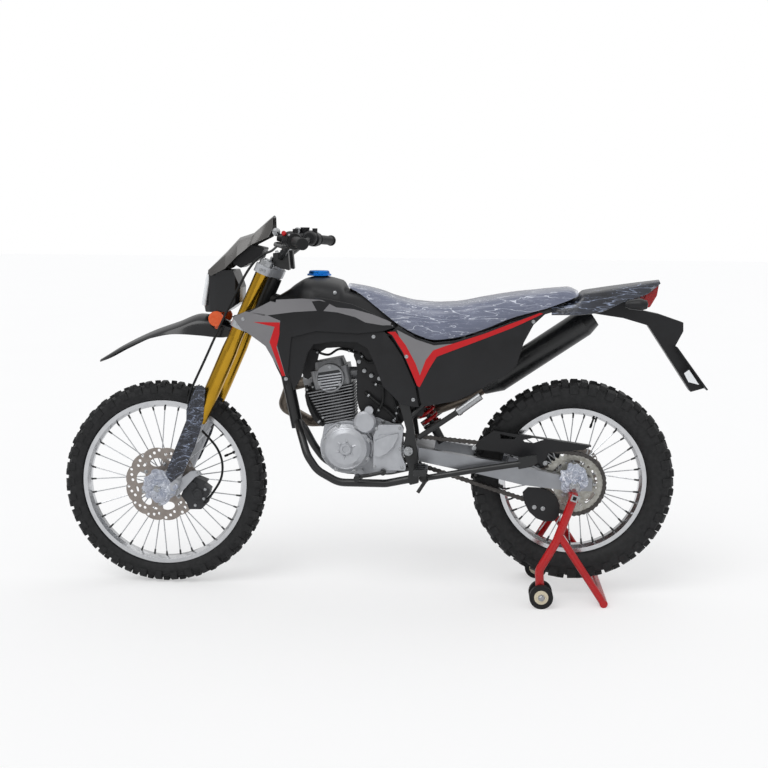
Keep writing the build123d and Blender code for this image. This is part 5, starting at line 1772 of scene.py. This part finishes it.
@dataclass
class WheelFittings:
    """Axle nuts, the rollers' hubs, the chain guards, the pegs' sleeves and the stand's small parts."""

    axle: tuple[float, float] = (646, 384)  # (X, Z) of the rear axle, in mm
    pivot: tuple[float, float] = (107, 490)  # (X, Z) of the swingarm's pivot
    roller: tuple[float, float] = (543, 38)  # (X, Z) of the rollers' axle
    socket: tuple[float, float] = (643, 356)  # (X, Z) of the stand's sockets
    nut_y: float = 131

    def build(self, maker: Maker) -> None:
        """Build the fittings.

        Args:
            maker: makes the pieces.
        """
        nuts = bmesh.new()
        for side in Side:
            add_bolt(nuts, (self.axle[0], side.value * self.nut_y, self.axle[1]), (0, side.value, 0), 13, 9)
            add_bolt(nuts, (self.pivot[0], side.value * self.nut_y, self.pivot[1]), (0, side.value, 0), 11, 7)
            add_bolt(nuts, (708, side.value * 101, 388), (1, 0, 0), 5, 9)
        maker.piece("axle_nuts", nuts, Body.CHASSIS, ZINC_PLATE)
        x, z = self.roller
        for side, body in ((-1, Body.ROLLERS_LEFT), (1, Body.ROLLERS_RIGHT)):
            hubs = bmesh.new()
            for y in (150, 204):
                for out in (-1, 1):
                    face = side * y + out * 10
                    add_rod(hubs, spot(x, face - out * 2, z), spot(x, face + out * 1.5, z), 24,
                            22, sides=32)
                    wall = face + out * 1.5
                    add_lathe(hubs, x, z, [(wall - out, 15.5), (wall + out * 2, 15), (wall + out * 2, 11),
                        (wall - out, 10.5)], sides=32, closed=True)
            name = "left" if side < 0 else "right"
            maker.piece(f"roller_hubs_{name}", hubs, body, CREAM_NYLON)
        self.build_stand(maker)
        self.build_guards(maker)

    def build_guards(self, maker: Maker) -> None:
        """Build the slotted chain guards, their screws and the sleeves of the pillion pegs.

        Args:
            maker: makes the pieces.
        """
        guards, screws, sleeves = bmesh.new(), bmesh.new(), bmesh.new()
        slots = [[(404, 546), (424, 541), (456, 535), (450, 529), (406, 530)],
            [(479, 527), (511, 535), (550, 531), (514, 518), (484, 521)]]
        add_punched(guards, [(313, 495), (345, 528), (384, 556), (700, 512), (676, 499), (564, 488),
            (545, 440), (520, 460), (400, 486)], slots, -87, -84)
        add_punched(guards, [(384, 556), (700, 512), (699, 508), (385, 552)], [], -84, -60)
        add_punched(guards, softened([(477, 372), (492, 300), (540, 258), (600, 262), (604, 330), (560, 370)],
            1), [], -92, -84)
        maker.piece("slotted_chain_guards", guards, Body.CHASSIS, BLACK_PP,
            hides=("chain_guards",))
        for x, y, z in ((320, -87, 498), (552, -87, 452), (520, -92, 306), (548, -92, 302)):
            add_bolt(screws, (x, y, z), (0, -1, 0), 5.5, 4)
        maker.piece("guard_screws", screws, Body.CHASSIS, ZINC_PLATE)
        for side in Side:
            start, end = Vector((262, side.value * 162, 624)), Vector((336, side.value * 166, 680))
            add_rod(sleeves, start.lerp(end, 0.1) * MM, start.lerp(end, 1.02) * MM, 12.8, sides=28)
            add_rod(sleeves, start.lerp(end, 0.05) * MM, start.lerp(end, 0.16) * MM, 14.5, sides=28)
        maker.piece("peg_sleeves", sleeves, Body.CHASSIS, ZINC_PLATE)
        plate = bmesh.new()
        add_punched(plate, [(991, 752), (1006, 764), (1040, 716), (1006, 724)], [], -66, -62)
        maker.piece("plate_reflector", plate, Body.CHASSIS, WHITE_DIFFUSER)

    def build_stand(self, maker: Maker) -> None:
        """Build the nuts on the rollers' axle and the square sockets at the top of the stand, with a dark
        square of painted shade in each socket's bore.

        Args:
            maker: makes the pieces.
        """
        mesh = bmesh.new()
        x0, z0 = self.socket
        for side in Side:
            add_bolt(mesh, (self.roller[0], side.value * 216.5, self.roller[1]), (0, side.value, 0), 8, 7)
            square = [(a * 11, b * 11) for a, b in ((-1, -1), (1, -1), (1, 1), (-1, 1))]
            turn = radians(-18)
            outer = [(x0 + x * cos(turn) - z * sin(turn),
                z0 + x * sin(turn) + z * cos(turn)) for x, z in square]
            inner = [(x0 + (x - x0) * 0.55, z0 + (z - z0) * 0.55) for x, z in outer]
            add_punched(mesh, outer, [inner], side.value * 171, side.value * 177)
        maker.piece("stand_nuts_and_sockets", mesh, Body.CHASSIS, ZINC_PLATE)
        # painted shade: a dark square fills each socket's bore, where the hollow would be in shade
        bore_shade = bmesh.new()
        for side in Side:
            add_rod(bore_shade, spot(x0, side.value * 171.8, z0), spot(x0, side.value * 173, z0), 9,
                    sides=4)
        maker.piece("stand_socket_painted_shade", bore_shade, Body.CHASSIS, MOULDED_RUBBER)


@dataclass
class Studio:
    """Floor, plain light and the camera."""

    place: tuple[float, float, float] = (0.3033, -4.1110, 1.2252)
    yaw: float = -3.9835
    pitch: float = 7.3732
    roll: float = 0.5030
    lens: float = 58.40
    wall: float = 0.42  # brightness of the studio's walls in reflections; its ceiling is 1

    def build(self) -> None:
        """Build the whole setting."""
        scene = bpy.context.scene
        scene.view_settings.view_transform = "Standard"
        self.build_camera(scene)
        self.build_world(scene)
        self.build_floor()
        self.build_lamps()

    def build_camera(self, scene: Scene) -> None:
        """Put the camera in place.

        Args:
            scene: scene that it joins.
        """
        yaw, pitch, roll = (radians(a) for a in (self.yaw, self.pitch, self.roll))
        ahead = Vector((sin(yaw) * cos(pitch), cos(yaw) * cos(pitch), -sin(pitch)))
        right = Vector((cos(yaw), -sin(yaw), 0))
        up = right.cross(ahead)
        across = right * cos(roll) + up * sin(roll)
        above = up * cos(roll) - right * sin(roll)
        data = bpy.data.cameras.new("camera")
        data.lens, data.sensor_width = self.lens, 36
        camera = bpy.data.objects.new("camera", data)
        turn = Matrix((across, above, -ahead)).transposed().to_4x4()
        camera.matrix_world = Matrix.Translation(Vector(self.place)) @ turn
        scene.collection.objects.link(camera)
        scene.camera = camera

    def build_world(self, scene: Scene) -> None:
        """Light all round evenly, show white behind, and reflect a ceiling lighter than the walls.

        Args:
            scene: scene that it joins.
        """
        world = bpy.data.worlds.new("studio")
        world.use_nodes = True
        tree = world.node_tree
        tree.nodes.clear()
        rays = add_node(tree, "ShaderNodeLightPath")
        seen = add_node(tree, "ShaderNodeMath", {"operation": "MAXIMUM"}, {
            0: rays.outputs["Is Camera Ray"], 1: rays.outputs["Is Transmission Ray"]})
        white = add_node(tree, "ShaderNodeMath", {"operation": "MAXIMUM"}, {
            0: seen.outputs[0], 1: rays.outputs["Is Glossy Ray"]})
        dome = add_node(tree, "ShaderNodeBackground", {}, {"Color": linear("f8f9fb"), "Strength": 0.66})
        towards = add_node(tree, "ShaderNodeTexCoord").outputs["Generated"]
        height = add_node(tree, "ShaderNodeSeparateXYZ", {}, {"Vector": towards}).outputs["Z"]
        ceiling = add_node(tree, "ShaderNodeMapRange", {"interpolation_type": "SMOOTHSTEP"}, {
            "Value": height, "From Min": 0.0, "From Max": 0.6, "To Min": self.wall, "To Max": 1.0})
        level = add_node(tree, "ShaderNodeMath", {"operation": "MAXIMUM"}, {
            0: ceiling.outputs["Result"], 1: seen.outputs[0]})
        card = add_node(tree, "ShaderNodeBackground", {}, {"Color": (1, 1, 1, 1),
            "Strength": level.outputs[0]})
        both = add_node(tree, "ShaderNodeMixShader", {}, {
            0: white.outputs[0], 1: dome.outputs[0], 2: card.outputs[0]})
        add_node(tree, "ShaderNodeOutputWorld", {}, {"Surface": both.outputs[0]})
        scene.world = world

    def build_floor(self) -> None:
        """Lay the pale floor."""
        mesh = bmesh.new()
        bmesh.ops.create_grid(mesh, x_segments=2, y_segments=2, size=40)
        data = bpy.data.meshes.new("floor")
        mesh.to_mesh(data)
        mesh.free()
        data.materials.append(PALE_FLOOR.cover())
        floor = bpy.data.objects.new("floor", data)
        floor.location.z = -0.0005
        bpy.context.scene.collection.objects.link(floor)

    def build_lamps(self) -> None:
        """Shine one wide soft lamp from above the near side, and a weak one from behind."""
        for name, strength, spread, out in (
                ("key", 1.15, 40.0, (-0.35, -0.62, 0.80)),
                ("rim", 0.35, 60.0, (0.5, 0.7, 0.9))):
            data = bpy.data.lights.new(name, "SUN")
            data.energy, data.angle = strength, radians(spread)
            lamp = bpy.data.objects.new(name, data)
            turn = (-Vector(out)).to_track_quat("-Z", "Y")
            lamp.matrix_world = Matrix.Translation(Vector(out) * 5) @ turn.to_matrix().to_4x4()
            bpy.context.scene.collection.objects.link(lamp)


@dataclass(frozen=True)
class StudioPaper(Finish):
    """Seamless paper: it shows white where nothing shades it, and keeps part of each shadow."""

    glow: float = 0.45  # share of plain white that the camera sees in it

    def finish_shader(self, tree: NodeTree, shader: Node,
            place: NodeSocket) -> None:
        """Take the sheen off the paper."""
        shader.inputs["Specular IOR Level"].default_value = 0.0

    def cover(self) -> Material:
        """Make the paper and mix plain white into what the camera sees."""
        material = self.build()
        tree = material.node_tree
        out = next(n for n in tree.nodes if n.type == "OUTPUT_MATERIAL")
        lit = out.inputs["Surface"].links[0].from_socket
        rays = add_node(tree, "ShaderNodeLightPath")
        share = add_node(tree, "ShaderNodeMath", {"operation": "MULTIPLY"}, {
            0: rays.outputs["Is Camera Ray"], 1: self.glow})
        white = add_node(tree, "ShaderNodeEmission", {}, {"Color": (1, 1, 1, 1), "Strength": 1.0})
        both = add_node(tree, "ShaderNodeMixShader", {}, {0: share.outputs[0], 1: lit, 2: white.outputs[0]})
        tree.links.new(both.outputs[0], out.inputs["Surface"])
        return material


# Seamless studio paper, white and matt.
PALE_FLOOR = StudioPaper("seamless studio paper", "fdfdfd", 0.9, second="fbfbfb", patch_mm=900, grain_mm=12,
    grain_depth_mm=0.01)


def dress_nodes(maker: Maker) -> None:
    """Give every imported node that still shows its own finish.

    Args:
        maker: dresses the nodes.
    """
    for finish, nodes in ((POWDER_COAT, ("main_frame", "swingarm_pivot", "pillion_pegs", "side_stand",
            "foot_levers")), (CAST_ALUMINIUM, ("crankcase", "generator_cover", "starter_motor",
            "triple_clamps", "fork_sliders", "sprocket_cover")), (RAW_CASTING, ("cylinder_head", "cylinder")),
            (SPOKE_STEEL, ("front_hub", "rear_hub")), (BLACK_PP,
            ("intake", "plate_bracket", "instruments", "switchgear", "rear_indicators")),
            (WRAPPED_GUARD, ("fork_guards",)), (BLACK_ABS, ("headlight",)),
            (CHARCOAL_ABS, ("headlight_mask",)), (HEADER_STEEL, ("exhaust_header",)),
            (BLACK_STEEL, ("silencer", "hand_levers", "handlebar", "footpegs")),
            (BLUE_ANODISED, ("fuel_cap",)), (RED_LENS, ("tail_light",)), (ORANGE_LENS, ("front_reflectors",)),
            (BRUSHED_ALUMINIUM, ("swingarm",)), (POLISHED_ALUMINIUM, ("front_rim", "rear_rim")),
            (ZINC_PLATE, ("front_axle", "rear_axle")), (GOLD_ANODISED, ("fork_tubes",)),
            (MOULDED_RUBBER, ("grips", "stand_rollers_left", "stand_rollers_right")),
            (RED_ENAMEL, ("paddock_stand",))):
        maker.dress(finish, *nodes)


def main() -> None:
    """Build the whole scene, sub-assembly by sub-assembly."""
    logging.basicConfig(level=logging.INFO, format="%(message)s")
    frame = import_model()
    maker = Maker(frame)
    Studio().build()
    dress_nodes(maker)
    for assembly in (BrakeHose(), FRONT_WHEEL, REAR_WHEEL, FRONT_DISC, REAR_DISC, Drive(), Bodywork(), Seat(),
            Packing(), Suspension(), Engine(), Controls(), Brakes(), WheelFittings()):
        log.info("-- %s", type(assembly).__name__)
        assembly.build(maker)


if __name__ == "__main__":
    main()
